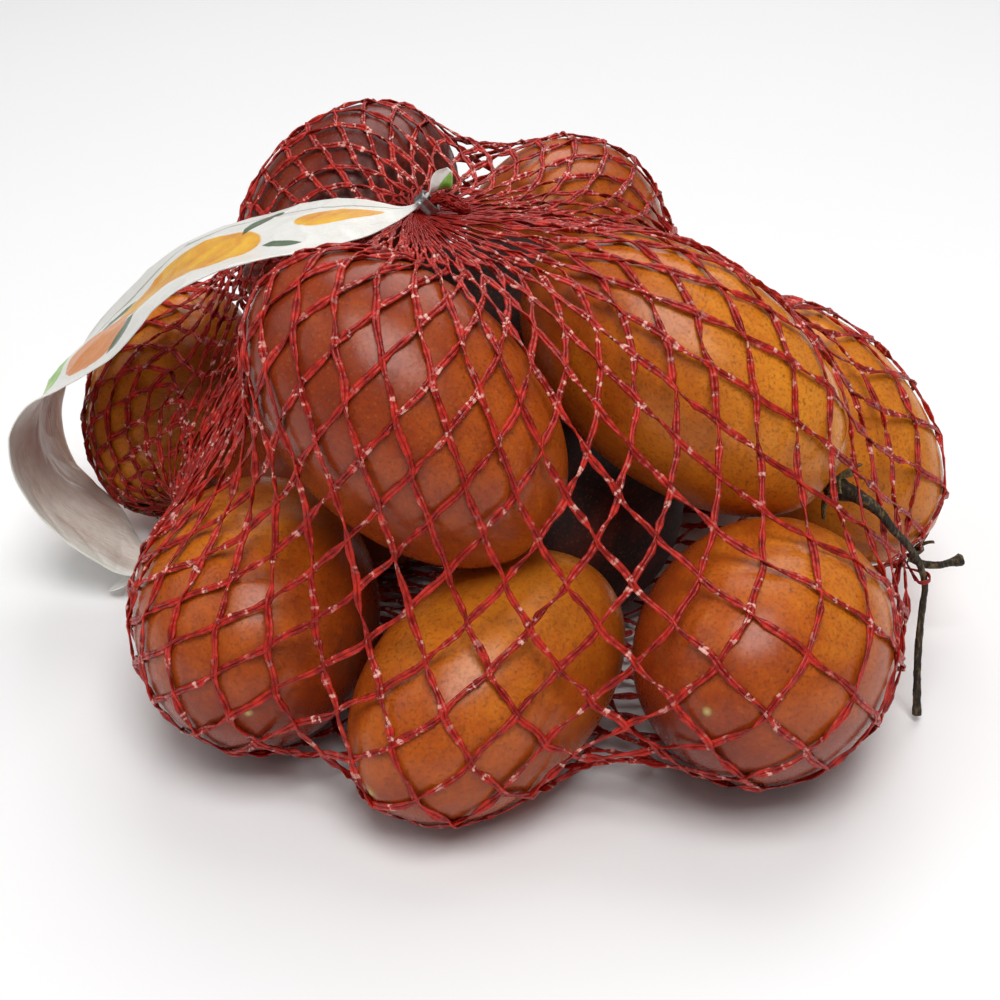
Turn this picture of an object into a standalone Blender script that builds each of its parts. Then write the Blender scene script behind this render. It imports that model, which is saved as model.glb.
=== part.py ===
"""Net of tamarillos: thirteen egg-shaped fruits in a knitted net bag that a metal clip closes at each
end, with a printed label band that runs from one clip round the left side to the other.

The filled net is one solid: the taut skin that the net makes over the fruits, drawn in between them,
because they show through its open cells. The label band, the two clips, the two tufts of cut net behind
them and the two stems that poke out are solids of their own.
Lengths are in millimetres until a mesh is made. +X is the right, +Y the back and +Z up."""

import math

import bmesh
import bpy
import numpy as np
from mathutils import Matrix, Vector
from mathutils.bvhtree import BVHTree

MM = 0.001

# name, centre x y z, bearing of the stem end, its rise in degrees, length, width
FRUITS = (
    ("top_left", -18, -47, 74, -22, -39, 73, 49),
    ("top_right", 38, -20, 69, -23, -30, 77, 48),
    ("right_side", 73, 9, 41, -36, -38, 71, 47),
    ("left_side", -83, 47, 31, 71, 47, 60, 43),
    ("front_left", -50, -45, 27, 94, 3, 66, 51),
    ("front_middle", -2, -65, 23, 48, 13, 67, 44),
    ("front_right", 53, -59, 27, 62, -10, 66, 51),
    ("back_top_left", -37.5, 61, 73.5, 45, 37, 66, 49),
    ("back_top_right", 17, 68, 68, 65, -14, 66, 48),
    ("middle_right", 19, 0, 23, 60, 5, 62, 44),
    ("middle_left", -30, 13, 24, 30, 5, 64, 46),
    ("back_middle", -6, 62, 24, 9, 4, 64, 46),
    ("back_right", 54, 55, 24, 70, 5, 64, 46),
)

# what else holds the net out: folds of it that run straight from one fruit to the next
TAUT_FOLDS = (
    ("right_fold", 55, 38, 73, -52, -15, 76, 12),
    ("left_fold", -82, 2, 20, -79, 6, 74, 11),
    ("stem_fold", 76, -42.5, 19.5, 60, 54, 38, 16),
)

NET_THICKNESS = 0.5  # of the net, outside the fruits
FLOOR_SNAP = 1.6  # skin lower than this rests on the floor
SKIN_SHAPE = (110.0, 100.0, 60.0)  # spreads the skin's points evenly
SKIN_CENTRE = (0.0, 0.0, 45.0)
SKIN_DETAIL = 5  # icosphere subdivisions
TIGHTENING_STEPS = 110
REFINED_STEPS = 50
# then the skin is drawn in between the fruits, as they show through the net's open cells
SINKING_STEPS = 70
SINK = 0.55  # at each step
SINK_FROM_HELD = (8.0, 60.0)  # from a post's end or the short stem: nearer none, farther away all of it
SINK_ABOVE = (6.0, 16.0)  # the floor: lower none, higher all of it
REFINE_WITHIN = (26.0, 12.0)  # of a post's end, where each refining halves the skin's edges

# where each clip stands; its axis runs from the loop's side to the cut ends of the net and the label
TOP_CLIP = Vector((-15.6, 4.0, 97.8))
TOP_AXIS = Vector((0.72, 0.05, 0.69)).normalized()
BOTTOM_CLIP = Vector((-84.0, 4.2, 2.9))
BOTTOM_AXIS = Vector((-0.99, -0.12, 0.0)).normalized()

# posts that hold the skin out, at the two gathers and the stem it snags on: end, direction, radius, length
POSTS = (
    ((-17.6, 3.9, 95.0), (0.6, 0.05, 0.8), 1.3, 20.0),
    ((-82.0, 4.5, 2.1), (-0.97, -0.2, -0.14), 1.2, 24.0),
    ((88.3, -36.8, 28.7), (0.86, -0.4, -0.31), 1.2, 10.0),
)

CLIP_HOLE = (2.0, 1.9)  # half sizes
CLIP_CORNER = 0.8
CLIP_WALL = 0.6
CLIP_LENGTH = 2.6
TUFT_PLUG_RADIUS = 1.0
TUFT_SIDE = 0.65  # the net fills one side of the clip's hole and the label the other
# offset x y z from the start of each tuft, thickness
TOP_FLARE = ((3.5, 0.4, 1.4, 3.7), (5.5, 0.5, 0.6, 5.2), (7.0, 0.2, -0.2, 4.2), (8.0, 0.0, -0.8, 2.0))
BOTTOM_FLARE = ((-2.6, -0.4, -0.4, 2.4), (-3.4, -0.7, -0.6, 2.6), (-4.2, -1.0, -0.7, 1.8))

LABEL_THICKNESS = 0.6
LABEL_STEPS = 104
LABEL_STRIPS = 8
LABEL_WRINKLE = 0.9
# centre x y z, width, and how the width's line tips up and turns away from +Y, in degrees
LABEL_STATIONS = (
    (-93.2, 1.6, 2.0, 1.6, 0, 0),
    (-90.3, 2.2, 3.5, 5.0, 0, 0),
    (-87.2, 3.6, 4.2, 3.2, 0, 0),
    (-84.0, 4.2, 4.2, 2.4, 0, 0),
    (-81.0, 4.5, 4.2, 3.0, 0, 0),
    (-79.7, 4.6, 5.3, 4.0, 0, 0),
    (-81.2, 4.8, 6.4, 5.5, 0, 0),
    (-86.5, 6.0, 7.2, 14.0, 0, 0),
    (-94.5, 12.0, 11.0, 28.0, 0, 0),
    (-102.3, 16.0, 16.0, 34.5, -4, 0),
    (-107.6, 18.5, 20.8, 37.5, -8, 0),
    (-110.6, 19.5, 28.0, 40.0, -12, 0),
    (-110.6, 20.0, 38.0, 41.0, -13, 0),
    (-106.0, 18.0, 48.0, 39.0, -9, 0),
    (-98.0, 16.0, 56.5, 37.5, -2, 0),
    (-87.0, 14.0, 66.0, 37.5, 3, 0),
    (-70.0, 11.0, 81.0, 39.0, -1, 0),
    (-52.0, 10.0, 88.3, 35.0, 0, 0),
    (-36.0, 7.0, 92.8, 22.0, 8, 0),
    (-25.5, 4.6, 94.8, 10.5, 12, 0),
    (-20.8, 4.0, 95.9, 4.8, 8, 0),
    (-17.4, 3.9, 97.8, 2.4, 0, 0),
    (-15.5, 4.1, 99.7, 2.4, 0, 0),
    (-13.6, 3.8, 101.3, 3.4, -18, 50),
    (-12.0, 3.3, 103.4, 4.8, -36, 110),
    (-10.6, 2.9, 105.8, 1.4, -36, 110),
)

STEM_SIDES = 8
TUFT_SIDES = 14
TUFT_LUMPS = 0.1  # of the radius, at the flared end
# centre x y z, thickness along each stem outside the net
HANGING_STEM = (
    (76.5, -41.0, 48.4, 2.5),
    (80.3, -40.9, 43.8, 2.0),
    (84.8, -39.0, 38.1, 1.8),
    (88.2, -37.9, 32.0, 1.7),
    (89.3, -38.3, 28.0, 1.7),
    (89.2, -38.7, 25.0, 1.8),
    (88.6, -41.5, 17.2, 1.8),
    (88.5, -45.8, 5.5, 2.0),
    (88.7, -47.0, 1.6, 2.1),
)
SHORT_STEM = (
    (93.1, -12.9, 19.5, 1.8),
    (95.6, -15.3, 19.5, 1.8),
    (98.6, -15.3, 19.3, 1.8),
    (102.3, -13.5, 19.0, 2.0),
    (104.3, -12.5, 19.0, 2.9),
)

NET_RED = (0.42, 0.035, 0.03, 1.0)
LABEL_WHITE = (0.80, 0.79, 0.77, 1.0)
CLIP_GREY = (0.55, 0.56, 0.56, 1.0)
STEM_BROWN = (0.045, 0.032, 0.018, 1.0)


def material(name, colour, roughness, metallic=0.0):
    made = bpy.data.materials.new(name)
    made.use_nodes = True
    shader = made.node_tree.nodes["Principled BSDF"]
    shader.inputs["Base Color"].default_value = colour
    shader.inputs["Roughness"].default_value = roughness
    shader.inputs["Metallic"].default_value = metallic
    return made


def add_object(name, bm, finish):
    """One closed body, from millimetres to metres, as a smooth-shaded object."""
    bmesh.ops.triangulate(bm, faces=bm.faces)
    bmesh.ops.recalc_face_normals(bm, faces=bm.faces)
    bmesh.ops.scale(bm, vec=(MM, MM, MM), verts=bm.verts)
    mesh = bpy.data.meshes.new(name)
    bm.to_mesh(mesh)
    bm.free()
    mesh.materials.append(finish)
    mesh.shade_smooth()
    mesh.set_sharp_from_angle(angle=math.radians(40))
    made = bpy.data.objects.new(name, mesh)
    bpy.context.scene.collection.objects.link(made)
    return made


def bearing_vector(bearing, rise):
    across = math.cos(math.radians(rise))
    return np.array(
        (
            across * math.cos(math.radians(bearing)),
            across * math.sin(math.radians(bearing)),
            math.sin(math.radians(rise)),
        )
    )


def push_out_of_fruit(points, centre, axis, half_length, half_width):
    """Moves the points that lie inside one fruit out to its surface."""
    away = points - centre
    along = away @ axis
    across = away - along[:, None] * axis
    scaled = np.sqrt((along / half_length) ** 2 + (across**2).sum(1) / half_width**2)
    slope = along[:, None] * axis / half_length**2 + across / half_width**2
    steep = np.linalg.norm(slope, axis=1) + 1e-9
    inside = scaled < 1
    depth = scaled * (1 - scaled) / steep
    points[inside] += (slope / steep[:, None] * depth[:, None])[inside]


def push_out_of_post(points, end, axis, radius, length):
    """Moves the points that lie inside a round post out to its side or its end."""
    away = points - end
    along = away @ axis
    across = away - along[:, None] * axis
    off = np.linalg.norm(across, axis=1) + 1e-9
    inside = (off < radius) & (along > -length) & (along < 0)
    to_end = -along
    to_side = radius - off
    up = inside & (to_end < to_side)
    out = inside & ~up
    points[up] += to_end[up, None] * axis
    points[out] += (across / off[:, None] * to_side[:, None])[out]


def outward_normals(points, corners):
    """The skin's outward direction at each of its points."""
    first, second, third = (points[corners[:, i]] for i in range(3))
    facing = np.cross(second - first, third - first)
    normals = np.zeros_like(points)
    for corner in range(3):
        for axis in range(3):
            normals[:, axis] += np.bincount(corners[:, corner], facing[:, axis], len(points))
    return normals / (np.linalg.norm(normals, axis=1)[:, None] + 1e-9)


def middles_of_neighbours(points, ends):
    """For each point of the skin, the middle of the points that share an edge with it."""
    total = np.zeros_like(points)
    for axis in range(3):
        total[:, axis] = np.bincount(ends[:, 0], points[ends[:, 1], axis], len(points))
        total[:, axis] += np.bincount(ends[:, 1], points[ends[:, 0], axis], len(points))
    return total / np.bincount(ends.ravel(), minlength=len(points))[:, None]


def push_out_of_fruits(points, fruits):
    for _name, x, y, z, bearing, rise, length, width in fruits:
        half = (length / 2 + NET_THICKNESS, width / 2 + NET_THICKNESS)
        push_out_of_fruit(points, np.array((x, y, z)), bearing_vector(bearing, rise), *half)


def tighten(bm, steps):
    """Draws the skin tight: each point moves to the middle of its neighbours, then out of the fruits."""
    bm.verts.index_update()
    ends = np.array([[v.index for v in e.verts] for e in bm.edges])
    points = np.array([v.co for v in bm.verts])
    pins = [int(np.argmin(np.linalg.norm(points - np.array(post[0]), axis=1))) for post in POSTS]
    for _ in range(steps):
        points = middles_of_neighbours(points, ends)
        push_out_of_fruits(points, FRUITS + TAUT_FOLDS)
        for pin, (end, axis, radius, length) in zip(pins, POSTS):
            push_out_of_post(points, np.array(end), np.array(Vector(axis).normalized()), radius, length)
            points[pin] = end
        points[:, 2] = np.maximum(points[:, 2], 0)
    for vertex, point in zip(bm.verts, points):
        vertex.co = point


def between(values, low, high):
    """0 below the low limit, 1 above the high one and a share between them."""
    return np.clip((values - low) / (high - low), 0, 1)


def sink_between_fruits(bm):
    """Draws the skin in between the fruits until it touches them, but not under them nor near what holds it."""
    bm.verts.index_update()
    ends = np.array([[v.index for v in e.verts] for e in bm.edges])
    corners = np.array([[v.index for v in f.verts] for f in bm.faces])
    points = np.array([v.co for v in bm.verts])
    freedom = between(points[:, 2], *SINK_ABOVE)
    for held in [post[0] for post in POSTS] + [SHORT_STEM[0][:3]]:
        freedom *= between(np.linalg.norm(points - np.array(held), axis=1), *SINK_FROM_HELD)
    for _ in range(SINKING_STEPS):
        moved = middles_of_neighbours(points, ends) - outward_normals(points, corners) * SINK
        points += (moved - points) * freedom[:, None]
        sunk = points.copy()
        push_out_of_fruits(points, FRUITS)
        freedom[np.linalg.norm(points - sunk, axis=1) > 0] = 0
    for vertex, point in zip(bm.verts, points):
        vertex.co = point


def refine_near(bm, places, within):
    """Halves the edges near the posts, where the skin narrows to a neck."""
    near = [
        edge
        for edge in bm.edges
        if any(((edge.verts[0].co + edge.verts[1].co) / 2 - place).length < within for place in places)
    ]
    bmesh.ops.subdivide_edges(bm, edges=near, cuts=1)
    bmesh.ops.triangulate(bm, faces=bm.faces)


def hull_of_fruits():
    """The convex hull of all the fruits, which the net would be if it hung straight between them."""
    bm = bmesh.new()
    for _name, x, y, z, bearing, rise, length, width in FRUITS + TAUT_FOLDS:
        turn = Vector((1, 0, 0)).rotation_difference(Vector(bearing_vector(bearing, rise)))
        size = Matrix.Diagonal((length / 2, width / 2, width / 2, 1))
        place = Matrix.Translation((x, y, z)) @ turn.to_matrix().to_4x4() @ size
        bmesh.ops.create_icosphere(bm, subdivisions=4, radius=1.0, matrix=place)
    hull = bmesh.ops.convex_hull(bm, input=bm.verts)
    bmesh.ops.delete(bm, geom=hull["geom_interior"] + hull["geom_unused"], context="VERTS")
    tree = BVHTree.FromBMesh(bm)
    bm.free()
    return tree


def filled_net(finish):
    """The net drawn tight over the fruits and up to its two clips, and in between the fruits."""
    hull = hull_of_fruits()
    centre = Vector(SKIN_CENTRE)
    bm = bmesh.new()
    bmesh.ops.create_icosphere(bm, subdivisions=SKIN_DETAIL, radius=1.0)
    for vertex in bm.verts:
        outward = Vector([a * b for a, b in zip(vertex.co, SKIN_SHAPE)]).normalized()
        vertex.co = hull.ray_cast(centre, outward)[0]
    tighten(bm, TIGHTENING_STEPS)
    held = [Vector(post[0]) for post in POSTS]
    for within in REFINE_WITHIN:
        refine_near(bm, held, within)
        tighten(bm, REFINED_STEPS)
    sink_between_fruits(bm)
    for vertex in bm.verts:
        if vertex.co.z < FLOOR_SNAP:
            vertex.co.z = 0.0
    return add_object("net_bag", bm, finish)


def smooth_through(stations, steps):
    """Points on one smooth curve through the stations, evenly spread, with whatever each one carries."""
    stations = np.array(stations, float)
    gaps = np.linalg.norm(np.diff(stations[:, :3], axis=0), axis=1)
    at = np.concatenate(([0.0], np.cumsum(gaps)))
    slopes = np.gradient(stations, at, axis=0)
    made = []
    for where in np.linspace(0, at[-1], steps + 1):
        i = min(int(np.searchsorted(at, where, side="right")) - 1, len(at) - 2)
        span = at[i + 1] - at[i]
        t = (where - at[i]) / span
        blend = (2 * t**3 - 3 * t**2 + 1, t**3 - 2 * t**2 + t, 3 * t**2 - 2 * t**3, t**3 - t**2)
        made.append(
            blend[0] * stations[i]
            + blend[1] * span * slopes[i]
            + blend[2] * stations[i + 1]
            + blend[3] * span * slopes[i + 1]
        )
    return np.array(made)


def label_band(finish):
    """The printed band: a thin strip, gathered narrow where each clip holds it."""
    path = smooth_through(LABEL_STATIONS, LABEL_STEPS)
    widest = max(station[3] for station in LABEL_STATIONS)
    bm = bmesh.new()
    rings = []
    for i, (x, y, z, width, tip, turn) in enumerate(path):
        ahead = path[min(i + 1, LABEL_STEPS)][:3] - path[max(i - 1, 0)][:3]
        wide = Vector(bearing_vector(90 - turn, tip))
        normal = Vector(ahead).cross(wide).normalized()
        ring = []
        for side in (1, -1):
            for j in range(LABEL_STRIPS + 1):
                across = (j / LABEL_STRIPS - 0.5) * side
                openness = width / widest
                wave = LABEL_WRINKLE * openness * math.sin(across * 9.0 + i * 0.16)
                lift = normal * (wave + side * LABEL_THICKNESS / 2)
                ring.append(bm.verts.new(Vector((x, y, z)) + wide * width * across + lift))
        rings.append(ring)
    for ring, following in zip(rings, rings[1:]):
        for a, b, c, d in zip(ring, ring[1:] + ring[:1], following[1:] + following[:1], following):
            bm.faces.new((a, b, c, d))
    bm.faces.new(rings[0])
    bm.faces.new(rings[-1])
    return add_object("label_band", bm, finish)


def across_frame(axis):
    """Two directions across an axis: the second lies as near +Y as it can."""
    second = (Vector((0, 1, 0)) - axis * axis.y).normalized()
    return second.cross(axis).normalized(), second


def rounded_outline(half, corner, steps=6):
    """Points round a rectangle with round corners."""
    made = []
    for quarter, (sx, sy) in enumerate(((1, 1), (-1, 1), (-1, -1), (1, -1))):
        for step in range(steps + 1):
            angle = (quarter + step / steps) * math.pi / 2
            made.append(
                (
                    sx * (half[0] - corner) + corner * math.cos(angle),
                    sy * (half[1] - corner) + corner * math.sin(angle),
                )
            )
    return made


def clip_ring(name, centre, axis, finish):
    """A flat metal strip crimped into a ring round the neck."""
    first, second = across_frame(axis)
    inner = rounded_outline(CLIP_HOLE, CLIP_CORNER)
    outer = rounded_outline([half + CLIP_WALL for half in CLIP_HOLE], CLIP_CORNER + CLIP_WALL)
    bm = bmesh.new()
    layers = []
    for outline, height in ((inner, -1), (outer, -1), (outer, 1), (inner, 1)):
        at = centre + axis * (height * CLIP_LENGTH / 2)
        layers.append([bm.verts.new(at + first * u + second * v) for u, v in outline])
    for layer, following in zip(layers, layers[1:] + layers[:1]):
        for a, b, c, d in zip(layer, layer[1:] + layer[:1], following[1:] + following[:1], following):
            bm.faces.new((a, b, c, d))
    return add_object(name, bm, finish)


def tube(name, stations, sides, steps, finish, lumps=0.0):
    """A round solid along a smooth curve, whose stations carry its thickness."""
    path = smooth_through(stations, steps)
    bm = bmesh.new()
    rings = []
    for i, (x, y, z, thickness) in enumerate(path):
        ahead = Vector(path[min(i + 1, steps)][:3] - path[max(i - 1, 0)][:3]).normalized()
        first, second = across_frame(ahead)
        ring = []
        for side in range(sides):
            angle = side * math.tau / sides
            radius = thickness / 2 * (1 + lumps * math.sin(3 * angle + i) * (i / steps))
            out = first * math.cos(angle) + second * math.sin(angle)
            ring.append(bm.verts.new(Vector((x, y, z)) + out * radius))
        rings.append(ring)
    for ring, following in zip(rings, rings[1:]):
        for a, b, c, d in zip(ring, ring[1:] + ring[:1], following[1:] + following[:1], following):
            bm.faces.new((a, b, c, d))
    bm.faces.new(rings[0])
    bm.faces.new(rings[-1])
    return add_object(name, bm, finish)


def tuft(name, centre, axis, side, flare, finish):
    """The cut end of the net: a plug that fills half the clip's hole, then a bunch flaring out of it."""
    first, _second = across_frame(axis)
    start = centre + first * (side * TUFT_SIDE)
    inside = CLIP_LENGTH / 2
    stations = [
        (*(start - axis * inside), 2 * TUFT_PLUG_RADIUS),
        (*(start + axis * (inside + 0.4)), 2 * TUFT_PLUG_RADIUS),
        *((*(start + Vector(offset)), thickness) for *offset, thickness in flare),
    ]
    return tube(name, stations, TUFT_SIDES, 14, finish, TUFT_LUMPS)


def stand_at_origin(parts):
    """Moves every piece so that the whole stands on the floor, centred on the origin."""
    corners = np.array([v.co for part in parts for v in part.data.vertices])
    low, high = corners.min(0), corners.max(0)
    shift = Vector((-(low[0] + high[0]) / 2, -(low[1] + high[1]) / 2, -low[2]))
    for part in parts:
        part.data.transform(Matrix.Translation(shift))


def build():
    for old in list(bpy.data.objects):
        bpy.data.objects.remove(old)
    net_red = material("net_red", NET_RED, 0.4)
    label_film = material("label_film", LABEL_WHITE, 0.35)
    clip_metal = material("clip_metal", CLIP_GREY, 0.4, 1.0)
    stem_brown = material("stem_brown", STEM_BROWN, 0.8)
    parts = [
        filled_net(net_red),
        label_band(label_film),
        clip_ring("top_clip", TOP_CLIP, TOP_AXIS, clip_metal),
        clip_ring("bottom_clip", BOTTOM_CLIP, BOTTOM_AXIS, clip_metal),
        tuft("top_tuft", TOP_CLIP, TOP_AXIS, 1, TOP_FLARE, net_red),
        tuft("bottom_tuft", BOTTOM_CLIP, BOTTOM_AXIS, -1, BOTTOM_FLARE, net_red),
        tube("hanging_stem", HANGING_STEM, STEM_SIDES, 22, stem_brown),
        tube("short_stem", SHORT_STEM, STEM_SIDES, 8, stem_brown),
    ]
    stand_at_origin(parts)


build()
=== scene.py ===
"""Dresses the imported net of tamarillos: fruit, knitted net, label band, clips, cut ends and dry stems.

Lengths in the tables are in millimetres from a point on the floor under the fruit, and in_frame carries them
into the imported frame. +X is the right, +Y the back and +Z up."""

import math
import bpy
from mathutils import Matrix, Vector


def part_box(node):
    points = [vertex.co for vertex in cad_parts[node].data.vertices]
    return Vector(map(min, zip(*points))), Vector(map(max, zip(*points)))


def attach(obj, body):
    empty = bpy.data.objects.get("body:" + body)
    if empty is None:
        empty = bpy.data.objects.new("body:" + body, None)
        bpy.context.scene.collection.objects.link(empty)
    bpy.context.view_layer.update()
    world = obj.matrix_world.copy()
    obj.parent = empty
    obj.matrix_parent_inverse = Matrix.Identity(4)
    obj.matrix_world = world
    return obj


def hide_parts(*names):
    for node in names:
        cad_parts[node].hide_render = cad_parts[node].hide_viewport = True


bl_info = {
    "name": "Net of Tamarillos",
    "version": (1, 0, 0),
    "blender": (4, 5, 0),
    "location": "View3D > Sidebar > Tamarillos",
    "description": "Makes the fruit, net, label band, clips and stems of a net of tamarillos",
    "category": "Object",
}

from typing import NamedTuple

import bmesh
import bpy
import numpy as np
from bpy.props import FloatProperty, FloatVectorProperty, IntProperty, PointerProperty
from bpy.types import Operator, Panel, PropertyGroup
from mathutils import Matrix, Vector, noise
from mathutils.bvhtree import BVHTree

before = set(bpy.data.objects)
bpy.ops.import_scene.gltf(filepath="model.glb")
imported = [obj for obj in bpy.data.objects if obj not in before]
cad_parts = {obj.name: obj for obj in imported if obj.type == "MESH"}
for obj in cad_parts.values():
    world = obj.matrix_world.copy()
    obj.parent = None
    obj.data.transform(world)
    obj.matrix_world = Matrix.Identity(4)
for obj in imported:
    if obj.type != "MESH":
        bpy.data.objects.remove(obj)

MM = 0.001
TINY, SMALL = 1e-9, 1e-6  # keep a length that is divided by above 0
SAME_PLACE = 1e-6  # vertices this near are merged, in metres


class Egg(NamedTuple):
    """A fruit, or a fold that holds the net out like one. Its stem end's bearing and rise are in degrees."""

    name: str
    x: float
    y: float
    z: float
    bearing: float
    rise: float
    length: float
    width: float
    ripeness: float = 0  # from yellow 0 to dark red 1, and past 1 on to nearly black as painted shade for the fruit deep in the net
    lean: tuple = (0, 0, 0)  # how the colour darkens towards +X, +Y and +Z: a riper red, and downward partly painted shade on the lower side

    @property
    def centre(self):
        return np.array((self.x, self.y, self.z))

    @property
    def axis(self):
        return bearing_vector(self.bearing, self.rise)


FRUITS = tuple(Egg(*row) for row in (
    ("top_left", -18, -47, 74, -22, -39, 73, 49, 0.62, (-0.18, 0, 0.06)),
    ("top_right", 38, -20, 69, -23, -30, 77, 48, 0.20, (-0.30, 0, 0.0)),
    ("right_side", 73, 9, 41, -36, -38, 71, 47, 0.16, (-0.05, 0, -0.10)),
    ("left_side", -83, 47, 31, 251, -47, 60, 43, 0.20, (0.16, 0, 0.04)),
    ("front_left", -50, -45, 27, 94, 3, 66, 51, 0.66, (0.04, 0, -0.52)),
    ("front_middle", -2, -65, 23, 48, 13, 67, 44, 0.46, (-0.06, 0, -0.44)),
    ("front_right", 53, -59, 27, 62, -10, 66, 51, 0.65, (-0.22, 0, -0.52)),
    ("back_top_left", -37.5, 61, 73.5, 45, 37, 66, 49, 1.0, (0.05, 0, 0)),
    ("back_top_right", 17, 68, 68, 65, -14, 66, 48, 0.48, (0, 0.1, -0.05)),
    # the two middle fruit are painted nearly black: painted shade deep in the net, where only shadow shows
    # between the fruit
    ("middle_top", -2, 20, 62, 10, 5, 60, 42, 1.25, (0, 0, 0)),
    ("middle_right", 19, 0, 23, 60, 5, 62, 44, 1.25, (0, 0, 0)),
    ("middle_left", -36, 14, 25, 15, 5, 64, 46, 0.66, (0, 0, 0)),
    ("back_middle", -6, 62, 24, 9, 4, 64, 46, 0.55, (0.1, 0.1, 0)),
    ("back_right", 54, 55, 24, 70, 5, 64, 46, 0.35, (0.05, -0.1, 0)),
))
# what else holds the net out: folds of it that run straight from one fruit to the next
TAUT_FOLDS = tuple(Egg(*row) for row in (
    ("right_fold", 55, 38, 73, -52, -15, 76, 12),
    ("left_fold", -82, 2, 20, -79, 6, 74, 11),
    ("stem_fold", 76, -42.5, 19.5, 60, 54, 38, 16),
))
NET_THICKNESS = 0.5
# size of the calyx on the fruits that have a large one, and how far it stands out of the dimple
WIDE_CALYXES = {"top_right": (2.3, 1.9), "right_side": (1.4, 1.6), "left_side": (1.5, 0.9)}

# where the net starts: an egg round the fruit, with its two gathers as poles
SKIN_CENTRE = np.array((0.0, 0.0, 45.0))
SKIN_SIZE = np.array((112.0, 104.0, 62.0))
TOP_GATHER = np.array((-17.6, 3.9, 95.0))
TOP_GATHER_AXIS = (0.6, 0.05, 0.8)
BOTTOM_GATHER = np.array((-82.0, 4.5, 2.1))
BOTTOM_GATHER_AXIS = (-0.97, -0.2, -0.14)
GATHER_RADIUS = 1.3
STEM_SNAG = np.array((88.3, -36.8, 28.7))  # where the hanging stem holds the net
SNAG_LOOP = np.array((88.8, -38.1, 30.0))  # where a strand is caught round that stem
SNAG_LOOP_RADIUS = 1.35
HELD_RADIUS = 9.0  # round the gathers and the snag, the skin stays as it is packed
TIGHTENING_STEPS = 160
# centre x y z and radius of the places where the net is bunched, and the side of its cells there
BUNCHED = ((-84, 4, 0, 60, 1.5), (-55, 10, 88, 45, 2.0), (-40, 75, 80, 50, 5.0), (-64, 42, 64, 26, 2.0))
WIDEST_CELL = 13.4
OPENNESS = 1.9  # width of a cell that is wide open, as a share of its side
JOINT_SHARE = 0.14  # most that half a joint takes of the way from row to row
FAN_OPENING = (0.75, 0.8)  # share of the room round the top gather and the bottom one that cells take up
FANNED_ROWS = (4, 3)  # rows that run straight from the top gather and from the bottom one
KNOT_LIFT = 0.4  # of the knots over the skin
STRAND_LIFTS = (0.55, 0.5)  # of the strands over the fruit, before and after they are smoothed
LOWEST_STRAND = 0.9
GATHERED_FULLNESS = 0.3  # of the tape, where the net is drawn together
FULL_FROM = 32.0  # distance from a gather at which the tape is full
LOOP_FULLNESS = 0.7
TWISTS = ((0.7, 2.6), (0.6, 1.5))  # how far the tape turns to and fro, over what length
STRAND_BATCHES = 5

# how the knots settle
RELAXING_STEPS = 200
SIDE_STIFFNESS = 0.25
SPAN_STIFFNESS = 0.175  # of the springs across each cell
TENSION = 0.01
SPEED_KEPT = 0.85
SPEED_GAINED = 0.8
FASTEST_STEP = 3.0

TOP_CLIP = Vector((-15.6, 4.0, 97.8))
TOP_AXIS = Vector((0.72, 0.05, 0.69)).normalized()
BOTTOM_CLIP = Vector((-84.0, 4.2, 2.9))
BOTTOM_AXIS = Vector((-0.99, -0.12, 0.0)).normalized()
CLIP_HOLE = (2.0, 1.9)  # half sizes
CLIP_CORNER = 0.8
CLIP_WALL = 0.6
CLIP_LENGTH = 2.6
TUFT_SIDE = 0.65  # the net fills one side of the clip's hole and the label the other
TUFT_ENDS = {"top_tuft": 84, "bottom_tuft": 30}
# offset x y z from the start of each tuft, thickness
TOP_FLARE = ((3.3, 0.2, 1.4, 4.4), (5.3, 0.2, 0.9, 6.4), (7.0, 0.0, 0.2, 5.4), (8.0, -0.2, -0.6, 2.8))
BOTTOM_FLARE = ((-2.6, -0.4, -0.4, 2.4), (-3.4, -0.7, -0.6, 2.6), (-4.2, -1.0, -0.7, 1.8))

# centre x y z, width, and how the width's line tips up and turns away from +Y, in degrees
LABEL_STATIONS = (
    (-93.2, 1.6, 2.0, 1.6, 0, 0),
    (-90.3, 2.2, 3.5, 5.0, 0, 0),
    (-87.2, 3.6, 4.2, 3.2, 0, 0),
    (-84.0, 4.2, 4.2, 2.4, 0, 0),
    (-81.0, 4.5, 4.2, 3.0, 0, 0),
    (-79.7, 4.6, 5.3, 4.0, 0, 0),
    (-81.2, 4.8, 6.4, 5.5, 0, 0),
    (-86.5, 6.0, 7.2, 14.0, 0, 0),
    (-94.5, 12.0, 11.0, 28.0, 0, 0),
    (-102.3, 16.0, 16.0, 34.5, -4, 0),
    (-107.6, 18.5, 20.8, 37.5, -8, 0),
    (-110.6, 19.5, 28.0, 40.0, -12, 0),
    (-110.6, 20.0, 38.0, 41.0, -13, 0),
    (-106.0, 18.0, 48.0, 39.0, -9, 0),
    (-98.0, 16.0, 56.5, 37.5, -2, 0),
    (-87.0, 14.0, 66.0, 37.5, 3, 0),
    (-70.0, 11.0, 81.0, 39.0, -1, 0),
    (-52.0, 10.0, 88.3, 35.0, 0, 0),
    (-36.0, 7.0, 92.8, 22.0, 8, 0),
    (-25.5, 4.6, 94.8, 10.5, 12, 0),
    (-20.8, 4.0, 95.9, 4.8, 8, 0),
    (-17.4, 3.9, 97.8, 2.4, 0, 0),
    (-15.5, 4.1, 99.7, 2.4, 0, 0),
    (-13.6, 3.8, 101.3, 3.4, -18, 50),
    (-12.0, 3.3, 103.4, 4.8, -36, 110),
    (-10.6, 2.9, 105.8, 1.4, -36, 110),
)
PRINT_SCALE = 100.0  # millimetres of film to one unit of its print's map
LABEL_STEPS = 620
LABEL_STRIPS = 44
LABEL_WRINKLE = 0.9
LABEL_WAVE = 0.16 * 104 / LABEL_STEPS  # how fast the wrinkle runs along the band
LABEL_SLANT = 9.0  # and across it
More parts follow.
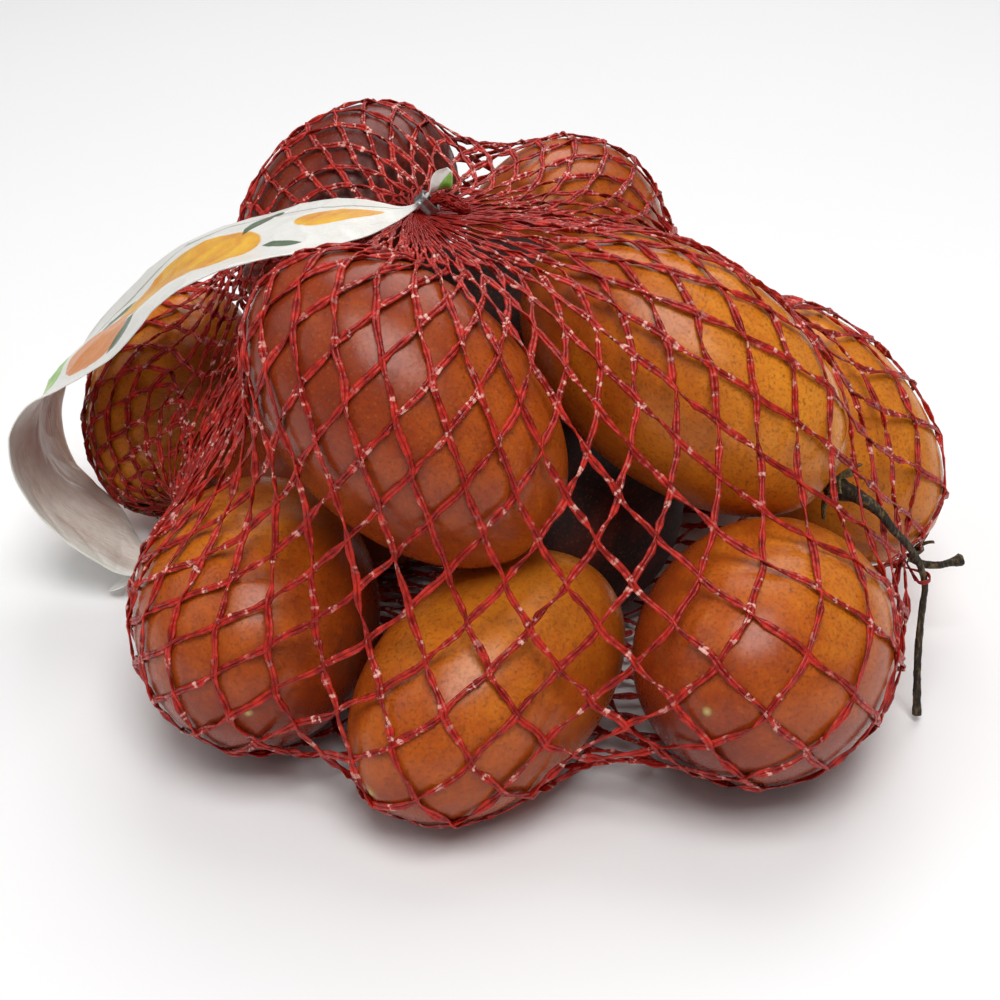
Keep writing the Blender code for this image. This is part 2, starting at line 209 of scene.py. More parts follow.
LABEL_TAIL = 9.0  # the folded end past the top clip, printed on both sides

# centre x y z, thickness along each stem, from the calyx inside the net to its dry end
HANGING_STEM = (
    (69.4, -33.6, 49.2, 5.4),
    (72.6, -37.4, 49.6, 3.2),
    (76.5, -41.0, 48.4, 2.2),
    (80.3, -40.9, 43.8, 1.7),
    (84.8, -39.0, 38.1, 1.5),
    (88.2, -37.9, 32.0, 1.4),
    (89.3, -38.3, 28.0, 1.35),
    (89.2, -38.7, 25.0, 1.4),
    (88.6, -41.5, 17.2, 1.5),
    (88.5, -45.8, 5.5, 1.7),
    (88.7, -47.0, 1.6, 1.9),
)
SHORT_STEM = (
    (93.1, -12.9, 19.5, 1.8),
    (95.6, -15.3, 19.5, 1.7),
    (98.6, -15.3, 19.3, 1.6),
    (102.3, -13.5, 19.0, 1.9),
    (104.3, -12.5, 19.0, 2.8),
)
STEM_SIDES = 18


def display(*values):
    """A linear colour from the values that a screen shows, 0 to 255."""
    shares = [value / 255 for value in values]
    return tuple(share / 12.92 if share < 0.04 else ((share + 0.055) / 1.055) ** 2.4 for share in shares)


def shift_of_frame():
    """From the tables' origin to the frame's, in millimetres: the top clip is the same piece in both."""
    low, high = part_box("top_clip")
    return np.array((low + high) / 2) / MM - np.array(TOP_CLIP)


SHIFT = shift_of_frame()


def in_frame(points):
    """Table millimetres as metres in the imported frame."""
    return (np.asarray(points, float) + SHIFT) * MM


def unit(vector):
    vector = np.asarray(vector, float)
    return vector / np.linalg.norm(vector)


def bearing_vector(bearing, rise):
    """The direction with a bearing, 0 for +X and 90 for +Y, and a rise above level, in degrees."""
    across = math.cos(math.radians(rise))
    east = across * math.cos(math.radians(bearing))
    north = across * math.sin(math.radians(bearing))
    return np.array((east, north, math.sin(math.radians(rise))))


def across_frame(axis):
    """Two directions across an axis: the second lies as near +Y as it can."""
    second = (Vector((0, 1, 0)) - axis * axis.y).normalized()
    return second.cross(axis).normalized(), second


def smooth_through(stations, steps):
    """Points on one smooth curve through the stations, evenly spread, with whatever each one carries."""
    stations = np.array(stations, float)
    gaps = np.linalg.norm(np.diff(stations[:, :3], axis=0), axis=1)
    at = np.concatenate(([0.0], np.cumsum(gaps)))
    slopes = np.gradient(stations, at, axis=0)
    where = np.linspace(0, at[-1], steps + 1)
    i = np.clip(np.searchsorted(at, where, side="right") - 1, 0, len(at) - 2)
    span = (at[i + 1] - at[i])[:, None]
    t = (where - at[i])[:, None] / span
    start = (2 * t**3 - 3 * t**2 + 1) * stations[i] + (t**3 - 2 * t**2 + t) * span * slopes[i]
    return start + (3 * t**2 - 2 * t**3) * stations[i + 1] + (t**3 - t**2) * span * slopes[i + 1]


def push_out_of(egg, points, lift):
    """Moves the points that lie inside one fruit or fold out to its surface, or to a height over it."""
    half_length, half_width = egg.length / 2 + lift, egg.width / 2 + lift
    away = points - egg.centre
    along = away @ egg.axis
    across = away - along[:, None] * egg.axis
    scaled = np.sqrt((along / half_length) ** 2 + (across**2).sum(1) / half_width**2)
    slope = along[:, None] * egg.axis / half_length**2 + across / half_width**2
    steep = np.linalg.norm(slope, axis=1) + TINY
    inside = scaled < 1
    depth = scaled * (1 - scaled) / steep
    points[inside] += (slope / steep[:, None] * depth[:, None])[inside]


# pieces


def carry(mesh, name, values):
    """Stores one number or one vector for each vertex."""
    values = np.asarray(values, float)
    kind = "FLOAT_VECTOR" if values.ndim == 2 else "FLOAT"
    field = "vector" if values.ndim == 2 else "value"
    mesh.attributes.new(name, kind, "POINT").data.foreach_set(field, values.ravel())


def add_piece(name, mesh, finish, stands_for):
    """Puts a finished mesh in the scene as a piece that rides on the net's one body."""
    if not mesh.materials:
        mesh.materials.append(finish)
    mesh.shade_smooth()
    made = bpy.data.objects.new(name, mesh)
    bpy.context.scene.collection.objects.link(made)
    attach(made, "root")
    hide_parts(*stands_for)


def grid_faces(rings, sides, first=0):
    """Quads between rings of vertices that each close on themselves."""
    faces = []
    for ring in range(rings - 1):
        low = first + ring * sides
        for side in range(sides):
            following = (side + 1) % sides
            faces.append((low + side, low + following, low + sides + following, low + sides + side))
    return faces


def tube_faces(rings, sides, first=0):
    """The same, with a flat face over each end."""
    last = first + (rings - 1) * sides
    ends = [tuple(range(first, first + sides))[::-1], tuple(range(last, last + sides))]
    return grid_faces(rings, sides, first) + ends


def pole_faces(rings, sides):
    """The same, with each end drawn to a point: the two vertices that follow the rings."""
    faces = grid_faces(rings, sides)
    last = (rings - 1) * sides
    for side in range(sides):
        following = (side + 1) % sides
        faces.append((rings * sides, following, side))
        faces.append((rings * sides + 1, last + side, last + following))
    return faces


def turn_outward(mesh, merge=False):
    """Turns all faces outward, after vertices in one place are merged where that is asked."""
    bm = bmesh.new()
    bm.from_mesh(mesh)
    if merge:
        bmesh.ops.remove_doubles(bm, verts=bm.verts, dist=SAME_PLACE)
    bmesh.ops.recalc_face_normals(bm, faces=bm.faces)
    bm.to_mesh(mesh)
    bm.free()


# materials


class Wire:
    """One output of a material's node, on which sums are written as Python expressions."""

    def __init__(self, finish, socket):
        self.finish = finish
        self.socket = socket

    def _sum(self, operation, *values):
        return self.finish.node("ShaderNodeMath", {"operation": operation}, dict(enumerate(values)))

    def __add__(self, other):
        return self._sum("ADD", self, other)

    __radd__ = __add__

    def __sub__(self, other):
        return self._sum("SUBTRACT", self, other)

    def __rsub__(self, other):
        return self._sum("SUBTRACT", other, self)

    def __mul__(self, other):
        return self._sum("MULTIPLY", self, other)

    __rmul__ = __mul__

    def __truediv__(self, other):
        return self._sum("DIVIDE", self, other)

    def __abs__(self):
        return self._sum("ABSOLUTE", self)

    def clamped(self):
        return self.finish.node("ShaderNodeMath", {"operation": "ADD", "use_clamp": True}, {0: self, 1: 0.0})

    def sine(self):
        return self._sum("SINE", self)


class Finish:
    """A material under construction round one Principled shader. Scales are per metre."""

    def __init__(self, name, constants):
        self.material = bpy.data.materials.new(name)
        self.material.use_nodes = True
        self.tree = self.material.node_tree
        self.shader = self.tree.nodes["Principled BSDF"]
        self.set(constants)

    def feed(self, socket, value):
        if isinstance(value, Wire):
            self.tree.links.new(value.socket, socket)
        elif socket.type == "RGBA" and len(value) == 3:
            socket.default_value = (*value, 1.0)
        else:
            socket.default_value = value

    def set(self, values):
        for name, value in values.items():
            self.feed(self.shader.inputs[name], value)

    def node(self, kind, settings=None, inputs=None, output=0):
        made = self.tree.nodes.new(kind)
        for name, value in (settings or {}).items():
            if name == "stops":
                fill_ramp(made.color_ramp, value)
            else:
                setattr(made, name, value)
        for name, value in (inputs or {}).items():
            self.feed(made.inputs[name], value)
        return Wire(self, made.outputs[output])

    def place(self):
        return self.node("ShaderNodeTexCoord", output="Object")

    def parts(self, where, names):
        """The numbers along some of a vector's axes."""
        return [self.node("ShaderNodeSeparateXYZ", None, {0: where}, name) for name in names]

    def carried(self, name, output="Fac"):
        return self.node("ShaderNodeAttribute", {"attribute_name": name}, output=output)

    def stretched(self, where, scale):
        return self.node("ShaderNodeVectorMath", {"operation": "MULTIPLY"}, {0: where, 1: scale})

    def wandering(self, where, scale, reach):
        """The places, each moved a little by noise of that scale."""
        drawn = self.node("ShaderNodeTexNoise", None, {"Vector": where, "Scale": scale}, output="Color")
        moved = self.stretched(drawn, (reach, reach, reach))
        return self.node("ShaderNodeVectorMath", {"operation": "ADD"}, {0: where, 1: moved})

    def cloudy(self, where, scale, detail=3.0, roughness=0.5):
        """Soft noise from about 0.3 to 0.7."""
        values = {"Vector": where, "Scale": scale, "Detail": detail, "Roughness": roughness}
        return self.node("ShaderNodeTexNoise", None, values)

    def streaky(self, along, scale):
        """Noise that changes only with the distance along a strand."""
        values = {"W": along, "Scale": scale, "Detail": 1.0}
        return self.node("ShaderNodeTexNoise", {"noise_dimensions": "1D"}, values)

    def spots(self, where, scale, size):
        """1 in the middle of scattered round spots, 0 outside them; size is a share of their spacing."""
        values = {"Vector": where, "Scale": scale}
        nearest = self.node("ShaderNodeTexVoronoi", None, values, output="Distance")
        return (1 - nearest / size).clamped()

    def chance(self, where, scale, share):
        """A random yes or no for each cell of the spots of the same scale: 1 for that share of them."""
        values = {"Vector": where, "Scale": scale}
        colour = self.node("ShaderNodeTexVoronoi", None, values, output="Color")
        drawn = self.node("ShaderNodeSeparateColor", None, {0: colour})
        return ((share - drawn) * 50).clamped()

    def ramp(self, factor, stops):
        return self.node("ShaderNodeValToRGB", {"stops": stops}, {0: factor}, output="Color")

    def mixed(self, factor, first, second):
        return self.node("ShaderNodeMix", {"data_type": "RGBA"}, {0: factor, 6: first, 7: second}, output=2)

    def bump(self, height, distance, strength):
        values = {"Height": height, "Distance": distance, "Strength": strength}
        return self.node("ShaderNodeBump", None, values)


def fill_ramp(ramp, stops):
    while len(ramp.elements) > 1:
        ramp.elements.remove(ramp.elements[-1])
    for i, (position, colour) in enumerate(stops):
        stop = ramp.elements[0] if i == 0 else ramp.elements.new(position)
        stop.position = position
        stop.color = (*colour, 1.0)


def tamarillo_skin(look):
    """Smooth waxy skin: streaks from end to end, fine grain, freckles, and a dry scar at each end."""
    skin = Finish("tamarillo_skin", {"Specular IOR Level": 0.32})
    own = skin.carried("own_place", "Vector")
    ripe = skin.carried("ripeness")
    streaks = skin.cloudy(skin.stretched(own, (28.0, 210.0, 210.0)), 1.0, 3.0, 0.6)
    clouds = skin.cloudy(own, 55.0, 4.0, 0.6)
    blotches = skin.cloudy(own, 260.0, 4.0, 0.7)
    ripe = (ripe + (clouds - 0.5) * 0.55 + (streaks - 0.5) * 0.3 + (blotches - 0.5) * 0.3) * 0.8
    hidden = ((ripe - 0.8) * 8.0).clamped()
    # the last stop, shaded, is painted shade: the nearly black skin of the fruit deep in the net
    stops = (
        (0.0, look.unripe),
        (0.32, look.half_ripe),
        (0.54, look.ripe),
        (0.8, look.overripe),
        (1.0, look.shaded),
    )
    colour = skin.ramp(ripe, stops)
    grain = skin.cloudy(own, 1500.0, 3.0, 0.6)
    colour = skin.mixed(((grain - 0.48) * 2.5).clamped(), colour, look.freckle)
    ragged = skin.wandering(own, 900.0, 0.0012)
    freckles = skin.spots(ragged, 190.0, 0.085) * skin.chance(ragged, 190.0, 0.4)
    colour = skin.mixed((freckles * 2.0).clamped() * 0.7, colour, look.freckle)
    pores = skin.spots(own, 900.0, 0.3) * 0.14
    colour = skin.mixed(pores, colour, look.pore)
    worn = skin.cloudy(own, 130.0, 6.0, 0.7)
    scuffed = skin.carried("scuffed") * ((worn - 0.42) * 7.0).clamped()
    colour = skin.mixed(scuffed * 0.7, colour, look.scar)
    ends = (skin.carried("scar") + (worn - 0.5) * 0.5).clamped()
    colour = skin.mixed(ends, colour, look.scar)
    colour = skin.mixed(skin.carried("blossom_end"), colour, look.blossom_end)
    crinkled = skin.carried("crinkled") * skin.cloudy(own, 420.0, 2.0, 0.8)
    colour = skin.mixed(crinkled * 0.5, colour, look.pore)
    height = grain * 0.03 + clouds * 0.5 - freckles * 0.05 + ends * 0.4 * worn + crinkled * 1.6
    skin.set(
        {
            "Base Color": colour,
            "Roughness": 0.28 + (grain - 0.5) * 0.2 + scuffed * 0.2 + ends * 0.3 + hidden * 0.4,
            "Normal": skin.bump(height, 0.0006, 0.7),
        }
    )
    return skin.material


STITCH = 0.0021  # from one ridge of the tape to the next


def net_yarn(look):
    """Glossy red plastic tape, knitted: ridges across it, brighter where it is thin, darker in the gathers.

    Where the net is open, some stretches of it have pale dashes: painted glints of the light on the shiny
    tape, partly pale stretch marks in the plastic."""
    yarn = Finish("net_yarn", {"Specular IOR Level": 0.28})
    where = yarn.place()
    along = yarn.carried("along")
    thin = yarn.cloudy(where, 420.0, 3.0)
    stitches = (along * (math.tau / STITCH) + yarn.cloudy(where, 500.0) * 6.0).sine()
    colour = yarn.mixed(((thin - 0.4) * 4.0).clamped(), look.deep_red, look.bright_red)
    open_net = ((yarn.carried("fullness") - 0.72) * 5.0).clamped()
    # painted glints: pale dashes along the open net stand for highlights on the shiny tape, partly pale
    # stretch marks
    glinting = ((yarn.cloudy(where, 95.0, 2.0) - 0.44) * 7.0).clamped() * open_net
    dashes = ((yarn.streaky(along, 420.0) - 0.53) * 12.0).clamped()
    marks = dashes * ((yarn.cloudy(where, 1100.0, 2.0) - 0.48) * 14.0).clamped() * glinting
    colour = yarn.mixed((1 - open_net) * 0.7, colour, look.deep_red)
    colour = yarn.mixed(marks * 0.8, colour, look.glint_and_stretch_mark)
    yarn.set(
        {
            "Base Color": colour,
            "Roughness": 0.34 + (thin - 0.5) * 0.4 - marks * 0.1,
            "Normal": yarn.bump(stitches * 0.4 + thin, 0.0002, 0.7),
        }
    )
    return yarn.material


# painted discs on the label: centre across and along the band, half sizes, turn, paint and its shade
DISCS = (
    ((21, 126), (11, 23), 6, "golden", "amber"),
    ((25, 167), (7, 11), -12, "golden", "amber"),
    ((14, 102), (9, 12), 0, "tan", "amber"),
    ((22, 84), (10, 6), 20, "lime", "lime_pale"),
    ((33, 193), (14, 3.4), 0, "lime", "lime_pale"),
)
LEAVES = (
    ((8, 112), (7, 2.4), 60),
    ((31, 148), (8, 2.6), 35),
    ((13, 154), (6, 2.0), 120),
    ((29, 101), (9, 2.4), 80),
    ((10, 70), (8, 2.2), 100),
)
EDGE_LINE = 35.0  # across the band, a thin line along it
BAND_MIDDLE = 20.5
RIM_STARTS = 12.0  # from the middle


def seen_from(centre, turn, across, along):
    """Distances from a motif's centre, along its long side and across it."""
    cosine, sine = math.cos(math.radians(turn)), math.sin(math.radians(turn))
    dx, dy = across - centre[0], along - centre[1]
    return dx * cosine + dy * sine, dy * cosine - dx * sine


def lens(centre, half, turn, across, along):
    """A leaf-shaped patch with pointed ends."""
    dx, dy = seen_from(centre, turn, across, along)
    long_way = dx / half[0]
    return ((half[1] * (1 - long_way * long_way) - abs(dy)) * 3.0).clamped()


def oval(centre, half, turn, across, along):
    """A round or oval patch with crisp edges."""
    dx, dy = seen_from(centre, turn, across, along)
    dx, dy = dx / half[0], dy / half[1]
    return ((1 - dx * dx - dy * dy) * (1.5 * min(half))).clamped()


def printed_film(look):
    """White plastic film: soft painted discs and leaves on its outer face, and a dull grey inner face."""
    film = Finish("printed_film", {"Specular IOR Level": 0.5, "Coat Weight": 0.25, "Coat Roughness": 0.2})
    across, along = film.parts(film.node("ShaderNodeUVMap", {"uv_map": "print"}), "XY")
    where = film.place()
    wash = film.cloudy(where, 160.0, 4.0, 0.6)
    across = across * PRINT_SCALE + (wash - 0.5) * 2.0
    along = along * PRINT_SCALE
    colour = film.mixed(((wash - 0.45) * 1.2).clamped(), look.white, look.grey)
    painterly = ((wash - 0.35) * 2.5).clamped()
    for *disc, main_colour, shade in DISCS:
        painted = film.mixed(painterly, getattr(look, main_colour), getattr(look, shade))
        colour = film.mixed(oval(*disc, across, along) * 0.95, colour, painted)
    for leaf in LEAVES:
        colour = film.mixed(lens(*leaf, across, along) * 0.9, colour, look.leaf)
    edge_line = (1 - abs(across - EDGE_LINE) * 1.4).clamped()
    colour = film.mixed(edge_line * 0.7, colour, look.leaf)
    inner = film.mixed(((wash - 0.42) * 2.2).clamped(), look.inside, look.inside_dark)
    rim = ((abs(across - BAND_MIDDLE) - RIM_STARTS) * 0.2).clamped()
    inner = film.mixed(rim * 0.85, inner, look.rim)
    colour = film.mixed(film.carried("outer_face"), inner, colour)
    creases = film.cloudy(film.stretched(where, (1.0, 2.4, 1.0)), 170.0, 5.0, 0.6)
    film.set(
        {
            "Base Color": colour,
            "Roughness": 0.34 + (wash - 0.5) * 0.2,
            "Normal": film.bump(creases, 0.0012, 0.5),
        }
    )
    return film.material


def crimped_metal(look):
    """Grey metal strip with fine rolled lines, dulled by handling."""
    metal = Finish("crimped_metal", {"Metallic": 1.0})
    where = metal.place()
    rolled = metal.cloudy(metal.stretched(where, (900.0, 900.0, 4000.0)), 1.0, 3.0)
    dulled = metal.cloudy(where, 700.0, 4.0)
    metal.set(
        {
            "Base Color": metal.mixed(((dulled - 0.4) * 3.0).clamped(), look.metal, look.dulled),
            "Roughness": 0.32 + (rolled - 0.5) * 0.3,
            "Normal": metal.bump(rolled + dulled, 0.0001, 0.6),
        }
    )
    return metal.material


def dry_stem(look):
    """Woody stem: dark bark, with olive streaks along it, partly the bark's paler ribs and partly painted
    highlight.
    """
    bark = Finish("dry_stem", {"Specular IOR Level": 0.4})
    where = bark.place()
    ribs = bark.cloudy(bark.stretched(where, (1300.0, 1300.0, 260.0)), 1.0, 4.0, 0.65)
    patches = bark.cloudy(where, 260.0, 3.0)
    # olive streaks along the stem: partly the bark's paler ribs, partly painted highlight
    colour = bark.mixed(((ribs - 0.48) * 5.0).clamped(), look.bark, look.olive)
    colour = bark.mixed(((patches - 0.5) * 4.0).clamped(), colour, look.bark)
    bark.set(
        {
            "Base Color": colour,
            "Roughness": 0.62 + (patches - 0.5) * 0.4,
            "Normal": bark.bump(ribs + patches, 0.0006, 0.9),
        }
    )
    return bark.material


def dry_calyx(look):
    """Dried calyx: olive-brown and matt, with dark patches."""
    leaf = Finish("dry_calyx", {"Specular IOR Level": 0.3})
    where = leaf.place()
    patches = leaf.cloudy(where, 1400.0, 3.0)
    colour = leaf.mixed(((patches - 0.4) * 4.0).clamped(), look.calyx_dark, look.calyx)
    leaf.set(
        {
            "Base Color": colour,
            "Roughness": 0.6 + (patches - 0.5) * 0.4,
            "Normal": leaf.bump(patches, 0.0004, 0.8),
        }
    )
    return leaf.material


def pale_floor(look):
    """Plain floor that is faintly uneven."""
    floor = Finish("studio_floor", {"Roughness": 0.6, "Specular IOR Level": 0.2})
    faint = floor.cloudy(floor.place(), 3.0, 2.0)
    dimmed = tuple(0.97 * part for part in look.floor)
    floor.set({"Base Color": floor.mixed(faint, look.floor, dimmed)})
    return floor.material


# the fruit

FRUIT_RINGS = 72
FRUIT_SIDES = 88
STEM_DIMPLE = (1.5, 3.6)  # depth and spread
TIP_NUB = (0.45, 1.7)  # height and spread
FACETING = 0.006
# fruit, kind of mark, its direction from the fruit's centre, radius
SKIN_MARKS = (
    ("front_left", "scuffed", (-0.66, -0.55, -0.48), 9),
    ("front_left", "scuffed", (0.75, -0.55, 0.1), 8),
    ("left_side", "crinkled", (0.35, -0.85, 0.25), 9),
)


def tamarillo_mesh(fruit, gap):
    """One egg-shaped fruit, faintly faceted, with a dimple for the stem and a nub at the tip."""
    half_length, half_width = fruit.length / 2 - gap / MM, fruit.width / 2 - gap / MM
    first, second = (np.array(direction) for direction in across_frame(Vector(fruit.axis)))
    down = np.linspace(0, math.pi, FRUIT_RINGS + 1)[1:-1]
    turn = np.arange(FRUIT_SIDES) * math.tau / FRUIT_SIDES
    spin = sum(ord(letter) for letter in fruit.name)
    facets = 1 + FACETING * np.cos(4 * turn + spin)[None, :] * np.sin(down)[:, None] ** 2 - FACETING
    out = np.sin(down)[:, None] * half_width * facets
    along = np.cos(down)[:, None] * half_length + np.zeros_like(out)
    depth, spread = STEM_DIMPLE
    height, breadth = TIP_NUB
    stem_end = along > 0
    along = along - np.where(stem_end, depth * np.exp(-((out / spread) ** 2)), 0)
    along = along - np.where(stem_end, 0, height * np.exp(-((out / breadth) ** 2)))
    own = np.stack((along, out * np.cos(turn), out * np.sin(turn)), axis=-1).reshape(-1, 3)
    own = np.vstack((own, ((half_length - depth, 0, 0), (-half_length - height, 0, 0))))
    points = fruit.centre + own[:, :1] * fruit.axis + own[:, 1:2] * first + own[:, 2:] * second
    mesh = bpy.data.meshes.new("tamarillo_" + fruit.name)
    mesh.from_pydata(in_frame(points), [], pole_faces(FRUIT_RINGS - 1, FRUIT_SIDES))
    turn_outward(mesh)
    from_axis = np.linalg.norm(own[:, 1:], axis=1)
    scar = np.where(own[:, 0] > 0, 1.5 - from_axis / 2.4, 0.8 - from_axis / 1.8)
    blossom_end = np.where(own[:, 0] < 0, 1.5 - from_axis / 0.75, 0)
    carry(mesh, "own_place", own * MM + spin * 0.37)
    # the lean darkens each fruit towards one side; downward this is partly painted shade on the lower side
    carry(mesh, "ripeness", fruit.ripeness + (points - fruit.centre) / half_length @ np.array(fruit.lean))
    carry(mesh, "scar", np.clip(scar, 0, 1))
    carry(mesh, "blossom_end", np.clip(blossom_end, 0, 1))
    for kind in ("scuffed", "crinkled"):
        carry(mesh, kind, marked_share(fruit, kind, points, half_width))
    return mesh


def marked_share(fruit, kind, points, half_width):
    """How much of one kind of mark each point of a fruit's skin has."""
    share = np.zeros(len(points))
    for name, mark, direction, radius in SKIN_MARKS:
        if (name, mark) == (fruit.name, kind):
            away = np.linalg.norm(points - fruit.centre - unit(direction) * half_width, axis=1)
            share = np.maximum(share, np.clip(1.4 - away / radius, 0, 1))
    return share


def make_fruit(settings):
    skin = tamarillo_skin(settings)
    for fruit in FRUITS:
        mesh = tamarillo_mesh(fruit, settings.gap)
        add_piece("tamarillo_" + fruit.name, mesh, skin, ["net_bag"])


# the net


def gather_ring(nodes, end, axis):
    """The places of a row of knots round a gather, in the directions that they already have."""
    axis = unit(axis)
    away = nodes - end
    away -= (away @ axis)[:, None] * axis
    return end + away / (np.linalg.norm(away, axis=1)[:, None] + TINY) * GATHER_RADIUS


def first_lattice(columns, rows):
    """Knots spread over an egg round the fruit, from the top gather to the bottom one."""
    north = unit((TOP_GATHER - SKIN_CENTRE) / SKIN_SIZE)
    other = unit((BOTTOM_GATHER - SKIN_CENTRE) / SKIN_SIZE)
    east = unit(other - (other @ north) * north)
    side = np.cross(north, east)
    spread = math.tan(math.acos(north @ other) / 2)
    row, column = np.meshgrid(np.arange(rows + 1), np.arange(columns), indexing="ij")
    turn = (column + 0.5 * (row % 2)) * math.tau / columns
    share = np.clip(row / rows, 0.002, 0.998)
    reach = np.exp(np.log(np.sinh(share / 2) / np.sinh((1 - share) / 2)) + 1j * turn)
    flat = reach * spread / (1 + reach)
    scale = 1 + np.abs(flat) ** 2
    towards = (2 * flat.real / scale)[..., None] * east + (2 * flat.imag / scale)[..., None] * side
    towards = towards + ((2 - scale) / scale)[..., None] * north
    return (SKIN_CENTRE + towards * SKIN_SIZE).reshape(-1, 3)


def lattice_links(columns, rows):
    """Pairs of knots: the cells' sides, their widths and their heights."""
    column = np.arange(columns)
    starts, ends = [], []
    for row in range(rows):
        lean = 0 if row % 2 == 0 else 1
        for step in (lean, lean - 1):
            starts.append(row * columns + column)
            ends.append((row + 1) * columns + (column + step) % columns)
    sides = np.concatenate(starts), np.concatenate(ends)
    inner = np.arange(1, rows)[:, None] * columns
    widths = (inner + column).ravel(), (inner + (column + 1) % columns).ravel()
    tops = np.arange(0, (rows - 1) * columns)
    return sides, widths, (tops, tops + 2 * columns)


def cell_sides(points, side):
    """The length that a cell's side wants at each knot, in millimetres."""
    wanted = np.full(len(points), side)
    for x, y, z, radius, least in BUNCHED:
        near = np.clip(1 - np.linalg.norm(points - np.array((x, y, z)), axis=1) / radius, 0, 1)
        wanted = wanted * (1 - near) + least * near
    return wanted


def pull(force, points, pair, wanted, stiffness, slack=0.0):
    """Adds the pull of springs between pairs of knots; a spring that is too short pushes half as hard."""
    start, end = pair
    along = points[end] - points[start]
    length = np.linalg.norm(along, axis=1) + SMALL
    stretch = (length - wanted) / length
    stretch = np.where(stretch < 0, np.maximum(stretch, -1.5) * 0.5, stretch) + slack
    push = along * (stretch * stiffness)[:, None]
    for axis in range(3):
        force[:, axis] += np.bincount(start, push[:, axis], len(points))
        force[:, axis] -= np.bincount(end, push[:, axis], len(points))


def taut_skin():
    """The net's own surface, to lay strands on.

    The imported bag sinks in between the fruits, so a copy of its skin is drawn tight over them again."""
    bm = bmesh.new()
    bm.from_mesh(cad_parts["net_bag"].data)
    bmesh.ops.remove_doubles(bm, verts=bm.verts, dist=SAME_PLACE)
    bm.verts.index_update()
    start, end = np.array([[v.index for v in e.verts] for e in bm.edges]).T
    triangles = [[v.index for v in face.verts] for face in bm.faces]
    points = np.array([v.co for v in bm.verts]) / MM - SHIFT
    bm.free()
    counts = np.bincount(np.concatenate((start, end)), minlength=len(points))[:, None]
    held = np.zeros(len(points), bool)
    for place in (TOP_GATHER, BOTTOM_GATHER, STEM_SNAG):
        held |= np.linalg.norm(points - place, axis=1) < HELD_RADIUS
    for _ in range(TIGHTENING_STEPS):
        total = np.zeros_like(points)
        for axis in range(3):
            total[:, axis] = np.bincount(start, points[end, axis], len(points))
            total[:, axis] += np.bincount(end, points[start, axis], len(points))
        points = np.where(held[:, None], points, total / counts)
        rest_on_fruit(points, NET_THICKNESS, 0.0, TAUT_FOLDS)
    return BVHTree.FromPolygons(points.tolist(), triangles)


def laid_on(skin, points, lift):
    """The nearest places on the skin, lifted a little, and which way is outward there."""
    placed = np.empty_like(points)
    outward = np.empty_like(points)
    for i, point in enumerate(points):
        nearest, normal, _face, _distance = skin.find_nearest(point)
        outward[i] = normal
        placed[i] = nearest + normal * lift
    return placed, outward


def straighten_fan(points, speed, gather_row, direction, rows, columns):
    """Sets the rows next to a gather on straight lines from it to the first free row."""
    gathered = np.arange(columns) + gather_row * columns
    free_row = gather_row + direction * rows
    column = np.arange(columns)
    free = points[free_row * columns : (free_row + 1) * columns]
    for step in range(1, rows):
        row = gather_row + direction * step
        target = free
        if (rows - step) % 2:
            lean = 1 if row % 2 else -1
            target = (free + free[(column + lean) % columns]) / 2
        ids = row * columns + column
        points[ids] = points[gathered] * (1 - step / rows) + target * (step / rows)
        speed[ids] = 0


def relaxed_lattice(settings):
    """The net's knots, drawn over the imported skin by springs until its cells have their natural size."""
    columns, rows, side = settings.columns, settings.rows, settings.cell_side / MM
    skin = taut_skin()
    points = first_lattice(columns, rows)
    sides, widths, heights = lattice_links(columns, rows)
    ends = np.arange(columns), np.arange(columns) + rows * columns
    top_ring = gather_ring(points[ends[0]], TOP_GATHER, TOP_GATHER_AXIS)
    bottom_ring = gather_ring(points[ends[1]], BOTTOM_GATHER, BOTTOM_GATHER_AXIS)
    points, outward = laid_on(skin, points, KNOT_LIFT)
    speed = np.zeros_like(points)
    turn = FAN_OPENING[0] * math.tau / columns
    for _ in range(RELAXING_STEPS):
        wanted = cell_sides(points, side)
        from_top = np.linalg.norm(points - TOP_GATHER, axis=1)
        from_bottom = np.linalg.norm(points - BOTTOM_GATHER, axis=1)
        reach = np.minimum(from_top, from_bottom * FAN_OPENING[1] / FAN_OPENING[0])
        width = np.minimum(np.minimum(turn * reach, WIDEST_CELL), OPENNESS * wanted)
        height = 2 * np.sqrt(np.maximum(wanted**2 - (width / 2) ** 2, 1))
        force = np.zeros_like(points)
        pull(force, points, sides, (wanted[sides[0]] + wanted[sides[1]]) / 2, SIDE_STIFFNESS, TENSION)
        pull(force, points, widths, (width[widths[0]] + width[widths[1]]) / 2, SPAN_STIFFNESS)
        pull(force, points, heights, (height[heights[0]] + height[heights[1]]) / 2, SPAN_STIFFNESS)
        speed = speed * SPEED_KEPT + force * SPEED_GAINED
        speed -= (speed * outward).sum(1)[:, None] * outward
        speed *= np.minimum(1, FASTEST_STEP / (np.linalg.norm(speed, axis=1) + TINY))[:, None]
        points, outward = laid_on(skin, points + speed, KNOT_LIFT)
        for end, ring in zip(ends, (top_ring, bottom_ring)):
            points[end] = ring
            speed[end] = 0
        straighten_fan(points, speed, 0, 1, FANNED_ROWS[0], columns)
        straighten_fan(points, speed, rows, -1, FANNED_ROWS[1], columns)
    return points.reshape(rows + 1, columns, 3), outward.reshape(rows + 1, columns, 3)


